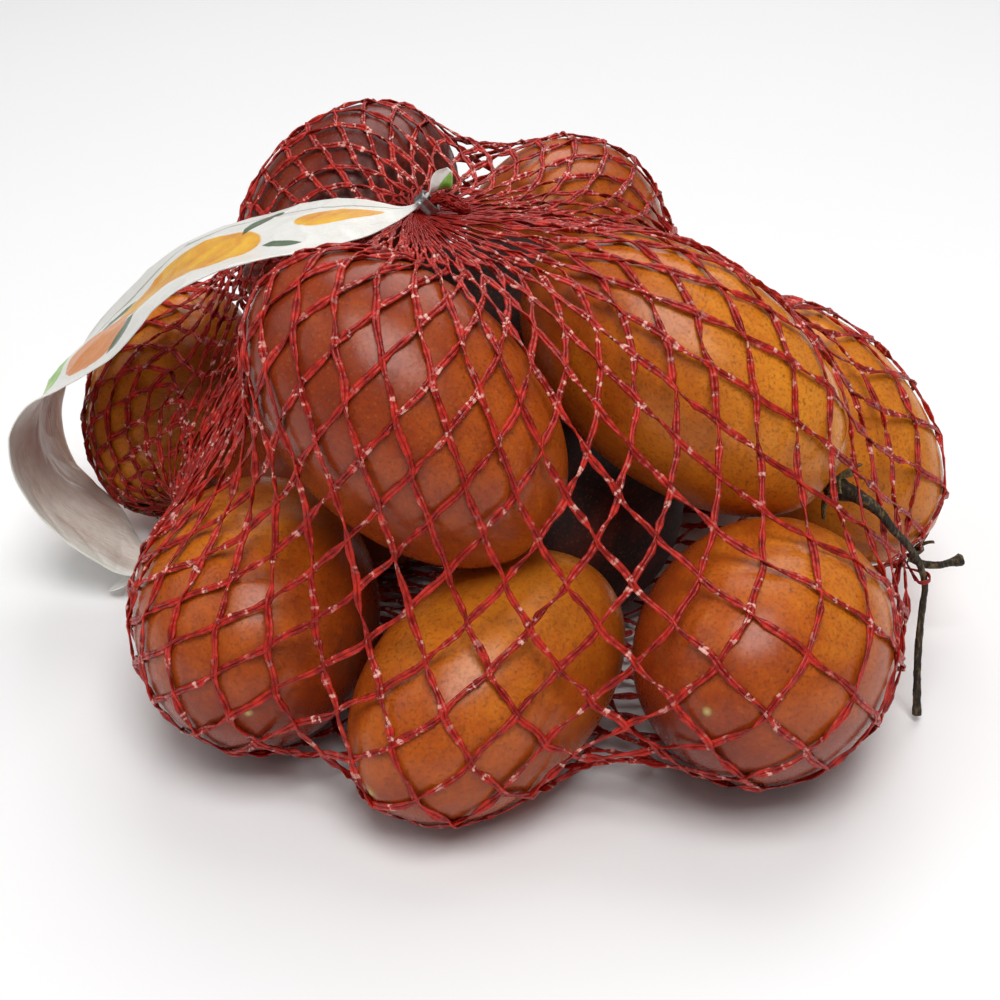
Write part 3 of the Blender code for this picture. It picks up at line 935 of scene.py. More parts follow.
def strand_lines(lattice, outward, settings):
    """Each strand winds down the net in one direction, caught at every knot to one that winds the other way.

    Gives points and outward directions, strand by strand."""
    rows, columns = lattice.shape[0] - 1, lattice.shape[1]
    draw = np.random.default_rng(11)
    above = np.concatenate((lattice[:1], lattice[:-1]))
    below = np.concatenate((lattice[1:], lattice[-1:]))
    down = np.empty_like(lattice)
    for row in range(rows + 1):
        lean = -1 if row % 2 == 0 else 1
        upper = above[row] + np.roll(above[row], -lean, axis=0)
        lower = below[row] + np.roll(below[row], -lean, axis=0)
        down[row] = (lower - upper) / 2
    span = np.linalg.norm(down, axis=2, keepdims=True)
    joint = np.minimum(settings.joint_length / MM / 2, span * JOINT_SHARE)
    down /= span + SMALL
    strands = []
    for strand in range(2 * columns):
        start, winds_right = strand // 2, strand % 2
        line, facing = [], []
        for row in range(rows + 1):
            shift = row // 2 if winds_right else -((row + 1) // 2)
            at = (start + shift) % columns
            knot = lattice[row, at] + outward[row, at] * (winds_right * settings.overlap / MM)
            for end in (-1, 1):
                line.append(knot + down[row, at] * end * joint[row, at, 0])
                facing.append(outward[row, at])
        strands.append(with_points_between(np.array(line), np.array(facing), draw, settings))
    return strands


def with_points_between(line, facing, draw, settings):
    """Adds points along each side of a cell, a little out of line, as slack knitting is."""
    shares = np.array((0.0, 0.25, 0.5, 0.75))
    made, ways = [], []
    for i in range(len(line) - 1):
        between = shares if i % 2 else shares[:1]
        step = line[i + 1] - line[i]
        sideways = np.cross(facing[i], step)
        size = np.linalg.norm(sideways) + SMALL
        bow = draw.normal(0, settings.slackness / MM) * min(1, np.linalg.norm(step) / 6)
        kinks = draw.normal(0, settings.slackness / MM * 0.35, len(between))
        for share, kink in zip(between, kinks):
            off = (bow * math.sin(math.pi * share) + kink * (share > 0)) * min(1, size / 6)
            made.append(line[i] + step * share + sideways / size * off)
            ways.append(facing[i] * (1 - share) + facing[i + 1] * share)
    made.append(line[-1])
    ways.append(facing[-1])
    return np.array(made), np.array(ways)


def rest_on_fruit(points, lift, lowest, folds=()):
    """Lifts points that sank into a fruit, a fold or the floor back onto it."""
    for egg in FRUITS + folds:
        push_out_of(egg, points, lift)
    points[:, 2] = np.maximum(points[:, 2], lowest)


def twisted(line, facing, draw):
    """The outward directions, turned round the strand by a wandering angle, and the distance along it."""
    step = np.gradient(line, axis=0)
    step /= np.linalg.norm(step, axis=1)[:, None] + TINY
    gaps = np.linalg.norm(np.diff(line, axis=0), axis=1)
    along = np.concatenate(([0.0], np.cumsum(gaps)))
    start = draw.uniform(0, math.tau, 3)
    angle = sum(reach * np.sin(along / length + begin) for (reach, length), begin in zip(TWISTS, start))
    upright = facing - (facing * step).sum(1)[:, None] * step
    upright /= np.linalg.norm(upright, axis=1)[:, None] + TINY
    sideways = np.cross(step, upright)
    turned = upright * np.cos(angle)[:, None] + sideways * np.sin(angle)[:, None]
    return turned, along + start[2] * 10


class NodeTree:
    """A geometry node tree under construction, with named inputs and real geometry as its output."""

    def __init__(self, name, inputs):
        self.tree = bpy.data.node_groups.new(name, "GeometryNodeTree")
        face = self.tree.interface
        for label, kind in (("Geometry", "Geometry"), *inputs, ("Finish", "Material")):
            face.new_socket(label, in_out="INPUT", socket_type="NodeSocket" + kind)
        face.new_socket("Geometry", in_out="OUTPUT", socket_type="NodeSocketGeometry")
        self.given = self.add("NodeGroupInput").outputs

    def add(self, kind, settings=None, inputs=None):
        """A node with its settings, and with its inputs set or linked."""
        made = self.tree.nodes.new(kind)
        for name, value in (settings or {}).items():
            setattr(made, name, value)
        for name, value in (inputs or {}).items():
            if isinstance(value, bpy.types.NodeSocket):
                self.tree.links.new(value, made.inputs[name])
            else:
                made.inputs[name].default_value = value
        return made

    def attribute(self, name, kind="FLOAT"):
        named = self.add("GeometryNodeInputNamedAttribute", {"data_type": kind}, {"Name": name})
        return named.outputs["Attribute"]

    def finished(self, geometry):
        real = self.add("GeometryNodeRealizeInstances", None, {"Geometry": geometry})
        values = {"Geometry": real.outputs[0], "Material": self.given["Finish"]}
        coated = self.add("GeometryNodeSetMaterial", None, values)
        self.add("NodeGroupOutput", None, {"Geometry": coated.outputs[0]})
        return self.tree


def yarn_tree():
    """Nodes that turn a mesh of lines into knitted tape: two flat yarns side by side along every line."""
    sizes = [(name, "Float") for name in ("Yarn Width", "Yarn Thickness", "Yarn Spacing")]
    nodes = NodeTree("knitted_strands", (*sizes, ("Yarn Sides", "Int")))
    given = nodes.given
    lines = nodes.add("GeometryNodeMeshToCurve", None, {"Mesh": given["Geometry"]})
    values = {"Curve": lines.outputs["Curve"], "Normal": nodes.attribute("facing", "FLOAT_VECTOR")}
    flat = nodes.add("GeometryNodeSetCurveNormal", {"mode": "FREE"}, values)
    values = {"X": given["Yarn Thickness"], "Y": given["Yarn Width"], "Z": 1.0}
    size = nodes.add("ShaderNodeCombineXYZ", None, values)
    values = {"Resolution": given["Yarn Sides"], "Radius": 0.5}
    ring = nodes.add("GeometryNodeCurvePrimitiveCircle", {"mode": "RADIUS"}, values)
    pair = nodes.add("GeometryNodeJoinGeometry")
    for sign in (0.5, -0.5):
        half = nodes.add("ShaderNodeMath", {"operation": "MULTIPLY"}, {0: given["Yarn Spacing"], 1: sign})
        aside = nodes.add("ShaderNodeCombineXYZ", None, {"Y": half.outputs[0]})
        values = {"Geometry": ring.outputs["Curve"], "Translation": aside.outputs[0]}
        values["Scale"] = size.outputs[0]
        placed = nodes.add("GeometryNodeTransform", None, values)
        nodes.tree.links.new(placed.outputs[0], pair.inputs["Geometry"])
    values = {"Curve": flat.outputs["Curve"], "Profile Curve": pair.outputs[0], "Fill Caps": True}
    values["Scale"] = nodes.attribute("fullness")
    tape = nodes.add("GeometryNodeCurveToMesh", None, values)
    return nodes.finished(tape.outputs["Mesh"])


def run_nodes(name, mesh, tree, values):
    """Runs a node tree on a mesh, with values for its named inputs; gives the plain mesh that comes out."""
    source = bpy.data.objects.new(name, mesh)
    bpy.context.scene.collection.objects.link(source)
    modifier = source.modifiers.new("nodes", "NODES")
    modifier.node_group = tree
    for item in tree.interface.items_tree:
        if item.in_out == "INPUT" and item.name in values:
            modifier[item.identifier] = values[item.name]
    graph = bpy.context.evaluated_depsgraph_get()
    made = bpy.data.meshes.new_from_object(source.evaluated_get(graph), depsgraph=graph)
    made.name = name
    source.modifiers.clear()
    bpy.data.objects.remove(source)
    bpy.data.meshes.remove(mesh)
    return made


def knit(name, tree, lines, values, finish):
    """Runs the strand nodes on (points, facing, along, fullness) lines; gives the plain mesh."""
    edges = []
    first = 0
    for points, *_rest in lines:
        edges += [(first + i, first + i + 1) for i in range(len(points) - 1)]
        first += len(points)
    mesh = bpy.data.meshes.new(name + "_lines")
    mesh.from_pydata(in_frame(np.vstack([line[0] for line in lines])), edges, [])
    carry(mesh, "facing", np.vstack([line[1] for line in lines]))
    carry(mesh, "along", np.concatenate([line[2] for line in lines]) * MM)
    carry(mesh, "fullness", np.concatenate([line[3] for line in lines]))
    return run_nodes(name, mesh, tree, {**values, "Finish": finish})


def yarn_values(settings):
    return {
        "Yarn Width": settings.yarn_width,
        "Yarn Thickness": settings.yarn_thickness,
        "Yarn Spacing": settings.yarn_spacing,
        "Yarn Sides": settings.yarn_sides,
    }


def snagged_loop(lattice):
    """A strand that is caught round the hanging stem and runs back to the two nearest knots."""
    knots = lattice.reshape(-1, 3)
    near = knots[np.argsort(np.linalg.norm(knots - STEM_SNAG, axis=1))[:2]]
    away = unit((SNAG_LOOP - near.mean(0)) * (1, 1, 0))
    aside = np.array((-away[1], away[0], 0))
    line, facing = [near[0]], [away]
    for turn in np.radians(np.linspace(-140, 140, 11)):
        out = away * math.cos(turn) + aside * math.sin(turn)
        line.append(SNAG_LOOP + out * SNAG_LOOP_RADIUS + np.array((0, 0, turn * 0.3)))
        facing.append(out)
    return np.array([*line, near[1]]), np.array([*facing, away])


def make_net(settings):
    """All the strands, in batches of neighbours."""
    lattice, outward = relaxed_lattice(settings)
    lines = []
    draw = np.random.default_rng(5)
    loop, facing = snagged_loop(lattice)
    turned, along = twisted(loop, facing, draw)
    lines.append((loop, turned, along, np.full(len(loop), LOOP_FULLNESS)))
    for line, facing in strand_lines(lattice, outward, settings):
        rest_on_fruit(line, STRAND_LIFTS[0], LOWEST_STRAND)
        line[1:-1] = line[1:-1] * 0.5 + (line[:-2] + line[2:]) * 0.25
        rest_on_fruit(line, STRAND_LIFTS[1], LOWEST_STRAND)
        turned, along = twisted(line, facing, draw)
        from_top = np.linalg.norm(line - TOP_GATHER, axis=1)
        near = np.minimum(from_top, np.linalg.norm(line - BOTTOM_GATHER, axis=1))
        fullness = GATHERED_FULLNESS + (1 - GATHERED_FULLNESS) * np.clip(near / FULL_FROM, 0, 1)
        fullness *= 1 + 0.14 * np.sin(along * 1.9) + 0.08 * np.sin(along * 3.7)
        lines.append((line, turned, along, fullness))
    finish = net_yarn(settings)
    tree = yarn_tree()
    each = math.ceil(len(lines) / STRAND_BATCHES)
    for batch in range(STRAND_BATCHES):
        name = f"net_strands_{batch + 1}"
        mesh = knit(name, tree, lines[batch * each : (batch + 1) * each], yarn_values(settings), finish)
        add_piece(name, mesh, finish, ["net_bag"])


def make_tufts(settings):
    """The cut ends of the net behind each clip, splayed and curling."""
    finish = bpy.data.materials["net_yarn"]
    tree = bpy.data.node_groups["knitted_strands"]
    ends = (
        ("top_tuft", TOP_CLIP, TOP_AXIS, 1, TOP_FLARE, TOP_GATHER),
        ("bottom_tuft", BOTTOM_CLIP, BOTTOM_AXIS, -1, BOTTOM_FLARE, BOTTOM_GATHER),
    )
    for name, clip, axis, side, flare, gather in ends:
        draw = np.random.default_rng(len(name))
        first, second = across_frame(axis)
        start = clip + first * (side * TUFT_SIDE)
        lines = []
        for _ in range(TUFT_ENDS[name]):
            turn = draw.uniform(0, math.tau)
            share = math.sqrt(draw.uniform(0.02, 1))
            radial = first * math.cos(turn) + second * math.sin(turn)
            begin = Vector(gather) + radial * GATHER_RADIUS * share * 0.8
            path = [begin, start - axis * CLIP_LENGTH / 2 + radial * share * 0.85]
            path.append(start + axis * (CLIP_LENGTH / 2 + 0.4) + radial * share * 0.85)
            reach = draw.integers(1, len(flare) + 1)
            for *offset, thickness in flare[:reach]:
                stray = Vector(draw.normal(0, 0.35, 3))
                path.append(start + Vector(offset) + radial * share * thickness * 0.42 + stray)
            line = smooth_through([tuple(point) for point in path], 4 * len(path))
            line[:, 2] = np.maximum(line[:, 2], 0.4)
            facing = np.tile(np.array(radial), (len(line), 1)) + draw.normal(0, 0.3, (len(line), 3))
            turned, along = twisted(line, facing, draw)
            fullness = GATHERED_FULLNESS + 0.35 * np.linspace(0, 1, len(line)) * draw.uniform(0.6, 1.2)
            lines.append((line, turned, along, fullness))
        mesh = knit(name + "_ends", tree, lines, yarn_values(settings), finish)
        add_piece(name + "_ends", mesh, finish, [name])


# the label


def crease(point):
    """Height of the film's fine creases at a place on it, in millimetres."""
    broad = noise.noise(Vector((point[0] * 0.06, point[1] * 0.03, 3.1)))
    sharp = 1 - abs(noise.noise(Vector((point[0] * 0.13 + 7, point[1] * 0.07, 8.2)))) * 3
    return 0.45 * broad + 0.35 * max(sharp, 0) ** 2


def label_mesh(settings):
    """The printed band: thin film, gathered narrow where each clip holds it."""
    path = smooth_through(LABEL_STATIONS, LABEL_STEPS)
    widest = max(station[3] for station in LABEL_STATIONS)
    ahead = np.gradient(path[:, :3], axis=0)
    steps = np.linalg.norm(np.diff(path[:, :3], axis=0), axis=1)
    run = np.concatenate(([0.0], np.cumsum(steps)))
    points, prints, outer = [], [], []
    for i, (x, y, z, width, tip, turn) in enumerate(path):
        wide = bearing_vector(90 - turn, tip)
        normal = unit(np.cross(ahead[i], wide))
        openness = width / widest
        for side in (1, -1):
            for j in range(LABEL_STRIPS + 1):
                across = (j / LABEL_STRIPS - 0.5) * side
                wave = LABEL_WRINKLE * openness * math.sin(across * LABEL_SLANT + i * LABEL_WAVE)
                wave += openness * crease((across * width, run[i])) - 0.2 * openness
                lift = wave + side * settings.thickness / MM / 2
                points.append(np.array((x, y, z)) + wide * width * across + normal * lift)
                prints.append(((across + 0.5) * widest / PRINT_SCALE, run[i] / PRINT_SCALE))
                outer.append(float(side > 0 or run[i] > run[-1] - LABEL_TAIL))
    faces = tube_faces(LABEL_STEPS + 1, 2 * (LABEL_STRIPS + 1))
    mesh = bpy.data.meshes.new("printed_label")
    mesh.from_pydata(in_frame(points), [], faces)
    layer = mesh.uv_layers.new(name="print")
    corners = np.empty(len(mesh.loops), dtype=int)
    mesh.loops.foreach_get("vertex_index", corners)
    layer.data.foreach_set("uv", np.array(prints)[corners].ravel())
    carry(mesh, "outer_face", outer)
    turn_outward(mesh)
    return mesh


def make_label(settings):
    add_piece("printed_label", label_mesh(settings), printed_film(settings), ["label_band"])


# clips, stems and calyxes


def rounded_outline(half, corner, steps=8):
    """Points round a rectangle with round corners."""
    made = []
    for quarter, (sx, sy) in enumerate(((1, 1), (-1, 1), (-1, -1), (1, -1))):
        for step in range(steps + 1):
            angle = (quarter + step / steps) * math.pi / 2
            x = sx * (half[0] - corner) + corner * math.cos(angle)
            y = sy * (half[1] - corner) + corner * math.sin(angle)
            made.append((x, y))
    return made


def clip_mesh(name, centre, axis):
    """A metal strip crimped into a ring, with eased edges and a shallow groove round it."""
    first, second = across_frame(axis)
    half = CLIP_LENGTH / 2
    # share of the wall outward, height along the clip's axis; the second half mirrors the first
    lower = ((0.0, -half + 0.1), (0.15, -half), (0.85, -half), (1.0, -half + 0.1), (1.0, -0.5), (0.82, -0.3))
    section = (*lower, *((share, -height) for share, height in reversed(lower)))
    points = []
    for share, height in section:
        grown = [size + CLIP_WALL * share for size in CLIP_HOLE]
        for u, v in rounded_outline(grown, CLIP_CORNER + CLIP_WALL * share):
            points.append(centre + axis * height + first * u + second * v)
    sides = len(points) // len(section)
    points += points[:sides]
    mesh = bpy.data.meshes.new(name)
    mesh.from_pydata(in_frame([tuple(point) for point in points]), [], grid_faces(len(section) + 1, sides))
    turn_outward(mesh, merge=True)
    mesh.set_sharp_from_angle(angle=math.radians(35))
    return mesh


def make_clips(settings):
    metal = crimped_metal(settings)
    for name, centre, axis in (("top_clip", TOP_CLIP, TOP_AXIS), ("bottom_clip", BOTTOM_CLIP, BOTTOM_AXIS)):
        add_piece("crimped_" + name, clip_mesh(name, centre, axis), metal, [name])


def stem_mesh(name, stations, steps):
    """A woody stem along a smooth curve, ribbed and knotty."""
    path = smooth_through(stations, steps)
    ahead = np.gradient(path[:, :3], axis=0)
    points = []
    for i, (x, y, z, thickness) in enumerate(path):
        first, second = across_frame(Vector(ahead[i]).normalized())
        for side in range(STEM_SIDES):
            angle = side * math.tau / STEM_SIDES
            place = Vector((x, y, z))
            out = first * math.cos(angle) + second * math.sin(angle)
            lump = noise.noise((place + out) * 0.55) * 0.16 + noise.noise((place + out) * 1.7) * 0.1
            ribs = 0.06 * math.cos(5 * angle + i * 0.03)
            points.append(place + out * (thickness / 2) * (1 + lump + ribs))
    points += [Vector(end[:3]) for end in (path[0], path[-1])]
    mesh = bpy.data.meshes.new(name)
    mesh.from_pydata(in_frame([tuple(point) for point in points]), [], pole_faces(steps + 1, STEM_SIDES))
    turn_outward(mesh)
    return mesh


def make_stems(settings):
    bark = dry_stem(settings)
    for name, stations, steps in (("hanging_stem", HANGING_STEM, 170), ("short_stem", SHORT_STEM, 40)):
        add_piece("dry_" + name, stem_mesh("dry_" + name, stations, steps), bark, [name])


SEPALS = 5
SEPAL_STEPS = 7
SEPAL_HALF_STRIPS = 3
STUB_SIDES = 12
STUB_RINGS = ((0.95, -0.5), (0.95, 0.25), (0.75, 0.75), (0.62, 1.0), (0.35, 0.92))  # radius, height


def calyx_mesh():
    """The dry calyx of one fruit: pointed sepals round a short stub, 6 mm across, with +Z as outward."""
    points, faces = [], []
    strips = range(-SEPAL_HALF_STRIPS, SEPAL_HALF_STRIPS + 1)
    ring = [(0, strip) for strip in strips] + [(1, strip) for strip in reversed(strips)]
    for sepal in range(SEPALS):
        turn = Matrix.Rotation(sepal * math.tau / SEPALS + 0.12 * math.sin(sepal * 2.3), 3, "Z")
        faces += tube_faces(SEPAL_STEPS + 1, len(ring), len(points))
        for step in range(SEPAL_STEPS + 1):
            out = step / SEPAL_STEPS
            width = 1.05 * (1 - out) ** 0.75 + 0.05
            for under, strip in ring:
                across = strip / SEPAL_HALF_STRIPS
                rise = 0.25 + 1.1 * out**2 * (0.7 + 0.3 * math.sin(sepal * 1.7)) - 0.18 * across**2
                rise -= under * (0.16 + 0.14 * (1 - out))
                points.append(turn @ Vector((0.4 + 2.7 * out, across * width, rise)))
    faces += tube_faces(len(STUB_RINGS), STUB_SIDES, len(points))
    for radius, height in STUB_RINGS:
        for side in range(STUB_SIDES):
            angle = side * math.tau / STUB_SIDES
            grown = radius * (1 + 0.08 * math.sin(3 * angle + height * 4))
            points.append(Vector((grown * math.cos(angle), grown * math.sin(angle), height)))
    mesh = bpy.data.meshes.new("calyx")
    mesh.from_pydata([point * MM for point in points], [], faces)
    turn_outward(mesh)
    return mesh


def calyx_tree():
    """Nodes that set one calyx on every point, turned outward."""
    nodes = NodeTree("calyxes_on_fruit", (("Calyx", "Object"), ("Calyx Size", "Float")))
    given = nodes.given
    pattern = nodes.add("GeometryNodeObjectInfo", None, {"Object": given["Calyx"], "As Instance": True})
    values = {"Vector": nodes.attribute("upright", "FLOAT_VECTOR")}
    turned = nodes.add("FunctionNodeAlignRotationToVector", {"axis": "Z"}, values)
    values = {0: nodes.attribute("size"), 1: given["Calyx Size"]}
    scaled = nodes.add("ShaderNodeMath", {"operation": "MULTIPLY"}, values)
    values = {
        "Points": given["Geometry"],
        "Instance": pattern.outputs["Geometry"],
        "Rotation": turned.outputs["Rotation"],
        "Scale": scaled.outputs[0],
    }
    placed = nodes.add("GeometryNodeInstanceOnPoints", None, values)
    return nodes.finished(placed.outputs["Instances"])


def calyx_places():
    """Where each fruit's calyx sits in its dimple, which way is outward there, and the calyx's size."""
    places, outward, sizes = [], [], []
    for fruit in FRUITS:
        size, lift = WIDE_CALYXES.get(fruit.name, (1.0, 0.0))
        places.append(fruit.centre + fruit.axis * (fruit.length / 2 - STEM_DIMPLE[0] + lift))
        outward.append(fruit.axis)
        sizes.append(size)
    return places, outward, sizes


def make_calyxes(settings):
    finish = dry_calyx(settings)
    places, outward, sizes = calyx_places()
    mesh = bpy.data.meshes.new("calyx_places")
    mesh.from_pydata(in_frame(places), [], [])
    carry(mesh, "upright", outward)
    carry(mesh, "size", sizes)
    pattern = bpy.data.objects.new("calyx", calyx_mesh())
    values = {"Calyx": pattern, "Calyx Size": settings.calyx_size, "Finish": finish}
    made = run_nodes("calyxes", mesh, calyx_tree(), values)
    bpy.data.objects.remove(pattern)
    add_piece("calyxes", made, finish, ["net_bag"])


# the stage

AIM = (0, 0, 45)  # what the camera and the lights face, in table millimetres
CAMERA_SHIFT = -0.0675
FLOOR_HALF = 3.0  # metres
# bearing and rise, distance and size in metres
KEY_SOFTBOX = ((-84, 64), 1.1, 0.62)
LEFT_SOFTBOX = ((-172, 40), 1.3, 0.9)
BACK_SOFTBOX = ((78, 52), 1.4, 1.2)


def area_light(name, towards, distance, size, power):
    """A square softbox that faces the middle of the net from a bearing and a rise."""
    lamp = bpy.data.lights.new(name, "AREA")
    lamp.energy = power
    lamp.size = size
    made = bpy.data.objects.new(name, lamp)
    way = Vector(bearing_vector(*towards))
    made.location = Vector(in_frame(AIM)) + way * distance
    made.rotation_euler = way.to_track_quat("Z", "Y").to_euler()
    bpy.context.scene.collection.objects.link(made)


def make_stage(settings):
    mesh = bpy.data.meshes.new("floor")
    corners = [(x * FLOOR_HALF, y * FLOOR_HALF, 0) for x, y in ((-1, -1), (1, -1), (1, 1), (-1, 1))]
    mesh.from_pydata(corners, [], [(0, 1, 2, 3)])
    mesh.materials.append(pale_floor(settings))
    floor = bpy.data.objects.new("floor", mesh)
    bpy.context.scene.collection.objects.link(floor)
    world = bpy.data.worlds.new("studio")
    world.use_nodes = True
    background = world.node_tree.nodes["Background"]
    background.inputs["Color"].default_value = (*settings.floor, 1.0)
    background.inputs["Strength"].default_value = settings.fill
    bpy.context.scene.world = world
    bpy.context.scene.view_settings.view_transform = "Standard"
    area_light("key_softbox", *KEY_SOFTBOX, settings.key_power)
    area_light("left_softbox", *LEFT_SOFTBOX, settings.side_power)
    area_light("back_softbox", *BACK_SOFTBOX, settings.back_power)
    camera = bpy.data.cameras.new("camera")
    camera.lens = settings.lens
    camera.shift_y = CAMERA_SHIFT
    camera.clip_start = 0.01
    made = bpy.data.objects.new("camera", camera)
    back = Vector(bearing_vector(-90, settings.camera_rise))
    made.location = Vector(in_frame(AIM)) + back * settings.camera_distance
    made.rotation_mode = "QUATERNION"
    made.rotation_quaternion = back.to_track_quat("Z", "Y")
    bpy.context.scene.collection.objects.link(made)
    bpy.context.scene.camera = made


# settings, operators and the panel


def measure(name, description, default):
    return FloatProperty(name=name, description=description, default=default, unit="LENGTH", precision=5)


def paint(name, description, default):
    return FloatVectorProperty(
        name=name, description=description, default=default, subtype="COLOR", size=3, min=0.0, max=1.0
    )


class FruitSettings(PropertyGroup):
    gap: measure("Skin Inset", "How far the fruit's skin lies inside its fitted egg", 0.0001)
    unripe: paint("Unripe", "Skin of the yellowest fruit", display(228, 140, 36))
    half_ripe: paint("Half Ripe", "Skin of ochre and orange fruit", display(186, 87, 20))
    ripe: paint("Ripe", "Skin of red-brown fruit", display(150, 57, 20))
    overripe: paint("Overripe", "Skin of the darkest fruit", display(110, 34, 24))
    # painted shade: the nearly black skin of the fruit deep in the net, where only shadow shows
    shaded: paint("Shaded", "Skin of the dark fruit deep in the net", display(34, 10, 8))
    freckle: paint("Freckle", "Dark specks in the skin", display(92, 44, 22))
    pore: paint("Pore", "Pale pores of the skin", display(226, 158, 96))
    scar: paint("Scar", "Dry ends and rubbed places", display(84, 60, 42))
    blossom_end: paint("Blossom End", "The dry point at the fruit's tip", display(206, 180, 112))


class NetSettings(PropertyGroup):
    columns: IntProperty(name="Columns", description="Cells round the net", default=50, min=12, max=80)
    rows: IntProperty(name="Rows", description="Rows of knots from clip to clip", default=42, min=12, max=80)
    cell_side: measure("Cell Side", "Length of a cell's side", 0.0094)
    joint_length: measure("Joint Length", "How far two strands run together at a knot", 0.0014)
    overlap: measure("Overlap", "How far one strand lies over the other at a knot", 0.00025)
    slackness: measure("Slackness", "How far a cell's side wanders from straight", 0.00022)
    yarn_width: measure("Yarn Width", "Width of each of a strand's two yarns", 0.00082)
    yarn_thickness: measure("Yarn Thickness", "Thickness of each yarn", 0.0005)
    yarn_spacing: measure("Yarn Spacing", "Between the middles of the two yarns", 0.00074)
    yarn_sides: IntProperty(name="Yarn Sides", description="Faces round each yarn", default=6, min=3, max=16)
    deep_red: paint("Deep Red", "The net where it is thick", display(136, 23, 17))
    bright_red: paint("Bright Red", "The net where it is thin", display(198, 46, 34))
    # painted glints on the tape, partly pale stretch marks in the plastic
    glint_and_stretch_mark: paint("Pale Mark", "Stretch marks in the plastic", display(250, 196, 182))


class LabelSettings(PropertyGroup):
    thickness: measure("Thickness", "Thickness of the folded film", 0.0003)
    white: paint("White", "Unprinted film", display(236, 234, 228))
    grey: paint("Grey", "Shaded film", display(216, 212, 206))
    golden: paint("Golden", "Golden discs", display(240, 184, 26))
    amber: paint("Amber", "Painted shade of the discs", display(214, 122, 24))
    tan: paint("Tan", "Tan disc", display(224, 148, 92))
    lime: paint("Lime", "Lime disc", display(112, 184, 40))
    lime_pale: paint("Pale Lime", "Painted light of the lime disc", display(206, 226, 140))
    leaf: paint("Leaf", "Painted leaves and lines", display(48, 84, 40))
    inside: paint("Inside", "Inner face of the film", display(234, 226, 215))
    inside_dark: paint("Inside Dark", "Smudged inner face", display(198, 185, 173))
    rim: paint("Rim", "Inner face along the edges, where the print shows through", display(238, 242, 232))


class ClipSettings(PropertyGroup):
    metal: paint("Metal", "Bright clip metal", display(190, 190, 190))
    dulled: paint("Dulled", "Dulled clip metal", display(132, 132, 134))


class StemSettings(PropertyGroup):
    bark: paint("Bark", "Dark dry bark", display(34, 25, 17))
    # olive streaks: partly the bark's paler ribs, partly painted highlight
    olive: paint("Olive", "Paler ribs of the bark", display(116, 98, 56))
    calyx: paint("Calyx", "Olive-brown sepals", display(128, 116, 66))
    calyx_dark: paint("Calyx Dark", "Dark middle of the calyx", display(70, 54, 34))
    calyx_size: FloatProperty(
        name="Calyx Size", description="Size of every calyx, 1 for 6 mm across", default=1.0, min=0.1
    )


class StageSettings(PropertyGroup):
    lens: FloatProperty(name="Lens", description="Focal length in millimetres", default=59.24)
    camera_distance: measure("Camera Distance", "From the middle of the net", 0.3722)
    camera_rise: FloatProperty(name="Camera Rise", description="Degrees above level", default=27.0)
    key_power: FloatProperty(name="Key Power", description="Watts of the main softbox", default=8.5)
    side_power: FloatProperty(name="Side Power", description="Watts of the softbox on the left", default=2.0)
    back_power: FloatProperty(name="Back Power", description="Watts of the softbox behind", default=10.5)
    fill: FloatProperty(name="Fill", description="Strength of the light from all round", default=0.23)
    floor: paint("Floor", "The plain floor", (0.94, 0.94, 0.94))


class TAMARILLO_OT_fruit(Operator):
    """Make the fourteen tamarillos"""

    bl_idname = "tamarillo.fruit"
    bl_label = "Fruit"

    def execute(self, context):
        make_fruit(context.scene.tamarillo_fruit)
        return {"FINISHED"}


class TAMARILLO_OT_net(Operator):
    """Knit the net over the fruit"""

    bl_idname = "tamarillo.net"
    bl_label = "Net"

    def execute(self, context):
        make_net(context.scene.tamarillo_net)
        return {"FINISHED"}


class TAMARILLO_OT_tufts(Operator):
    """Make the cut ends of the net behind the two clips"""

    bl_idname = "tamarillo.tufts"
    bl_label = "Cut Ends"

    def execute(self, context):
        make_tufts(context.scene.tamarillo_net)
        return {"FINISHED"}


class TAMARILLO_OT_label(Operator):
    """Make the printed label band"""

    bl_idname = "tamarillo.label"
    bl_label = "Label Band"

    def execute(self, context):
        make_label(context.scene.tamarillo_label)
        return {"FINISHED"}


class TAMARILLO_OT_clips(Operator):
    """Make the two metal clips"""

    bl_idname = "tamarillo.clips"
    bl_label = "Clips"

    def execute(self, context):
        make_clips(context.scene.tamarillo_clips)
        return {"FINISHED"}


class TAMARILLO_OT_calyxes(Operator):
    """Make the dry calyx at each fruit's stem end"""

    bl_idname = "tamarillo.calyxes"
    bl_label = "Calyxes"

    def execute(self, context):
        make_calyxes(context.scene.tamarillo_stems)
        return {"FINISHED"}


class TAMARILLO_OT_stems(Operator):
    """Make the two stems that stick out of the net"""

    bl_idname = "tamarillo.stems"
    bl_label = "Stems"

    def execute(self, context):
        make_stems(context.scene.tamarillo_stems)
        return {"FINISHED"}


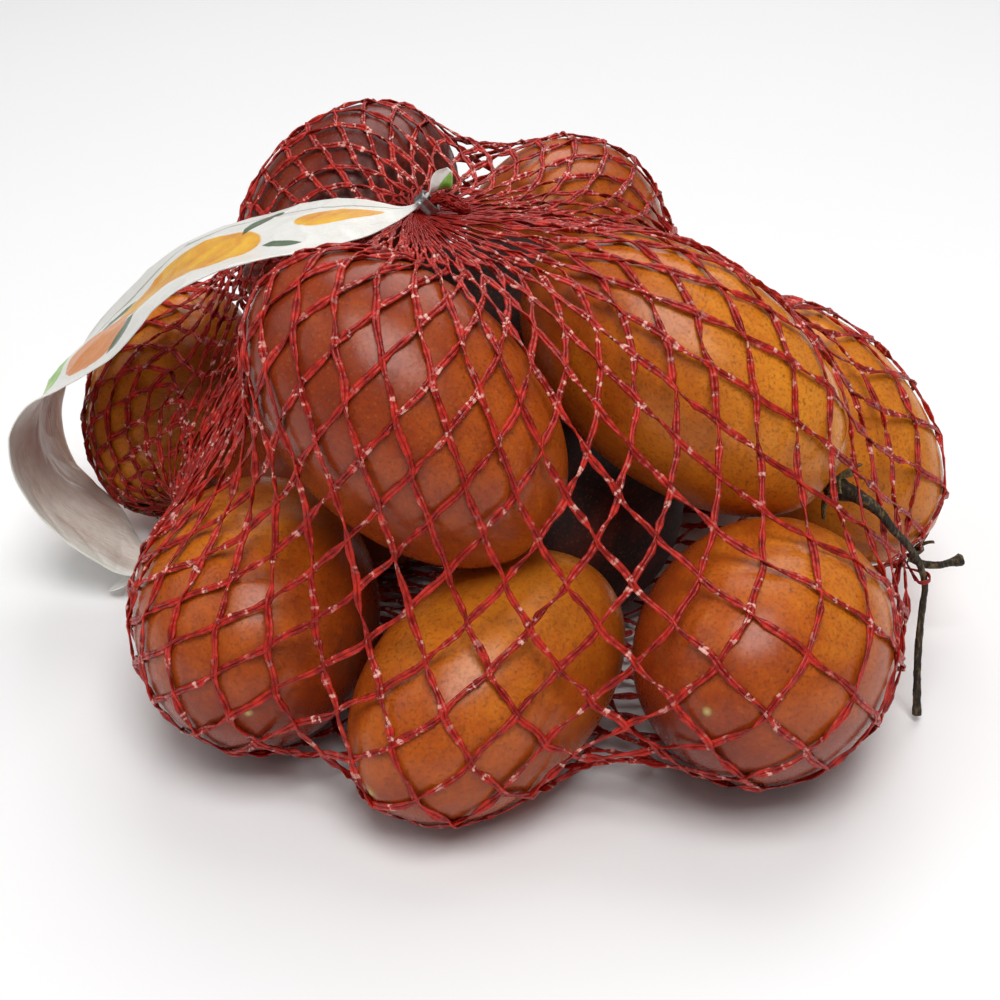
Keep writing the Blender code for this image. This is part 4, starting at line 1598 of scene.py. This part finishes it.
class TAMARILLO_OT_stage(Operator):
    """Set the floor, the soft lights and the camera"""

    bl_idname = "tamarillo.stage"
    bl_label = "Stage"

    def execute(self, context):
        make_stage(context.scene.tamarillo_stage)
        return {"FINISHED"}


OPERATORS = (
    TAMARILLO_OT_stage,
    TAMARILLO_OT_fruit,
    TAMARILLO_OT_net,
    TAMARILLO_OT_tufts,
    TAMARILLO_OT_label,
    TAMARILLO_OT_clips,
    TAMARILLO_OT_calyxes,
    TAMARILLO_OT_stems,
)
SETTINGS = {
    "tamarillo_fruit": FruitSettings,
    "tamarillo_net": NetSettings,
    "tamarillo_label": LabelSettings,
    "tamarillo_clips": ClipSettings,
    "tamarillo_stems": StemSettings,
    "tamarillo_stage": StageSettings,
}


class TAMARILLO_PT_panel(Panel):
    """Sizes and colours, and a button for each group of pieces"""

    bl_idname = "TAMARILLO_PT_panel"
    bl_label = "Net of Tamarillos"
    bl_space_type = "VIEW_3D"
    bl_region_type = "UI"
    bl_category = "Tamarillos"

    def draw(self, context):
        for operator in OPERATORS:
            self.layout.operator(operator.bl_idname)
        for name, group in SETTINGS.items():
            box = self.layout.box()
            box.label(text=group.__name__)
            for field in group.__annotations__:
                box.prop(getattr(context.scene, name), field)


def register():
    for name, group in SETTINGS.items():
        bpy.utils.register_class(group)
        setattr(bpy.types.Scene, name, PointerProperty(type=group))
    for made in (*OPERATORS, TAMARILLO_PT_panel):
        bpy.utils.register_class(made)


def unregister():
    for made in reversed((*OPERATORS, TAMARILLO_PT_panel)):
        bpy.utils.unregister_class(made)
    for name, group in SETTINGS.items():
        delattr(bpy.types.Scene, name)
        bpy.utils.unregister_class(group)


def main():
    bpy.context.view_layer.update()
    register()
    bpy.ops.tamarillo.stage()
    bpy.ops.tamarillo.fruit()
    bpy.ops.tamarillo.net()
    bpy.ops.tamarillo.tufts()
    bpy.ops.tamarillo.label()
    bpy.ops.tamarillo.clips()
    bpy.ops.tamarillo.calyxes()
    bpy.ops.tamarillo.stems()


if __name__ == "__main__":
    main()
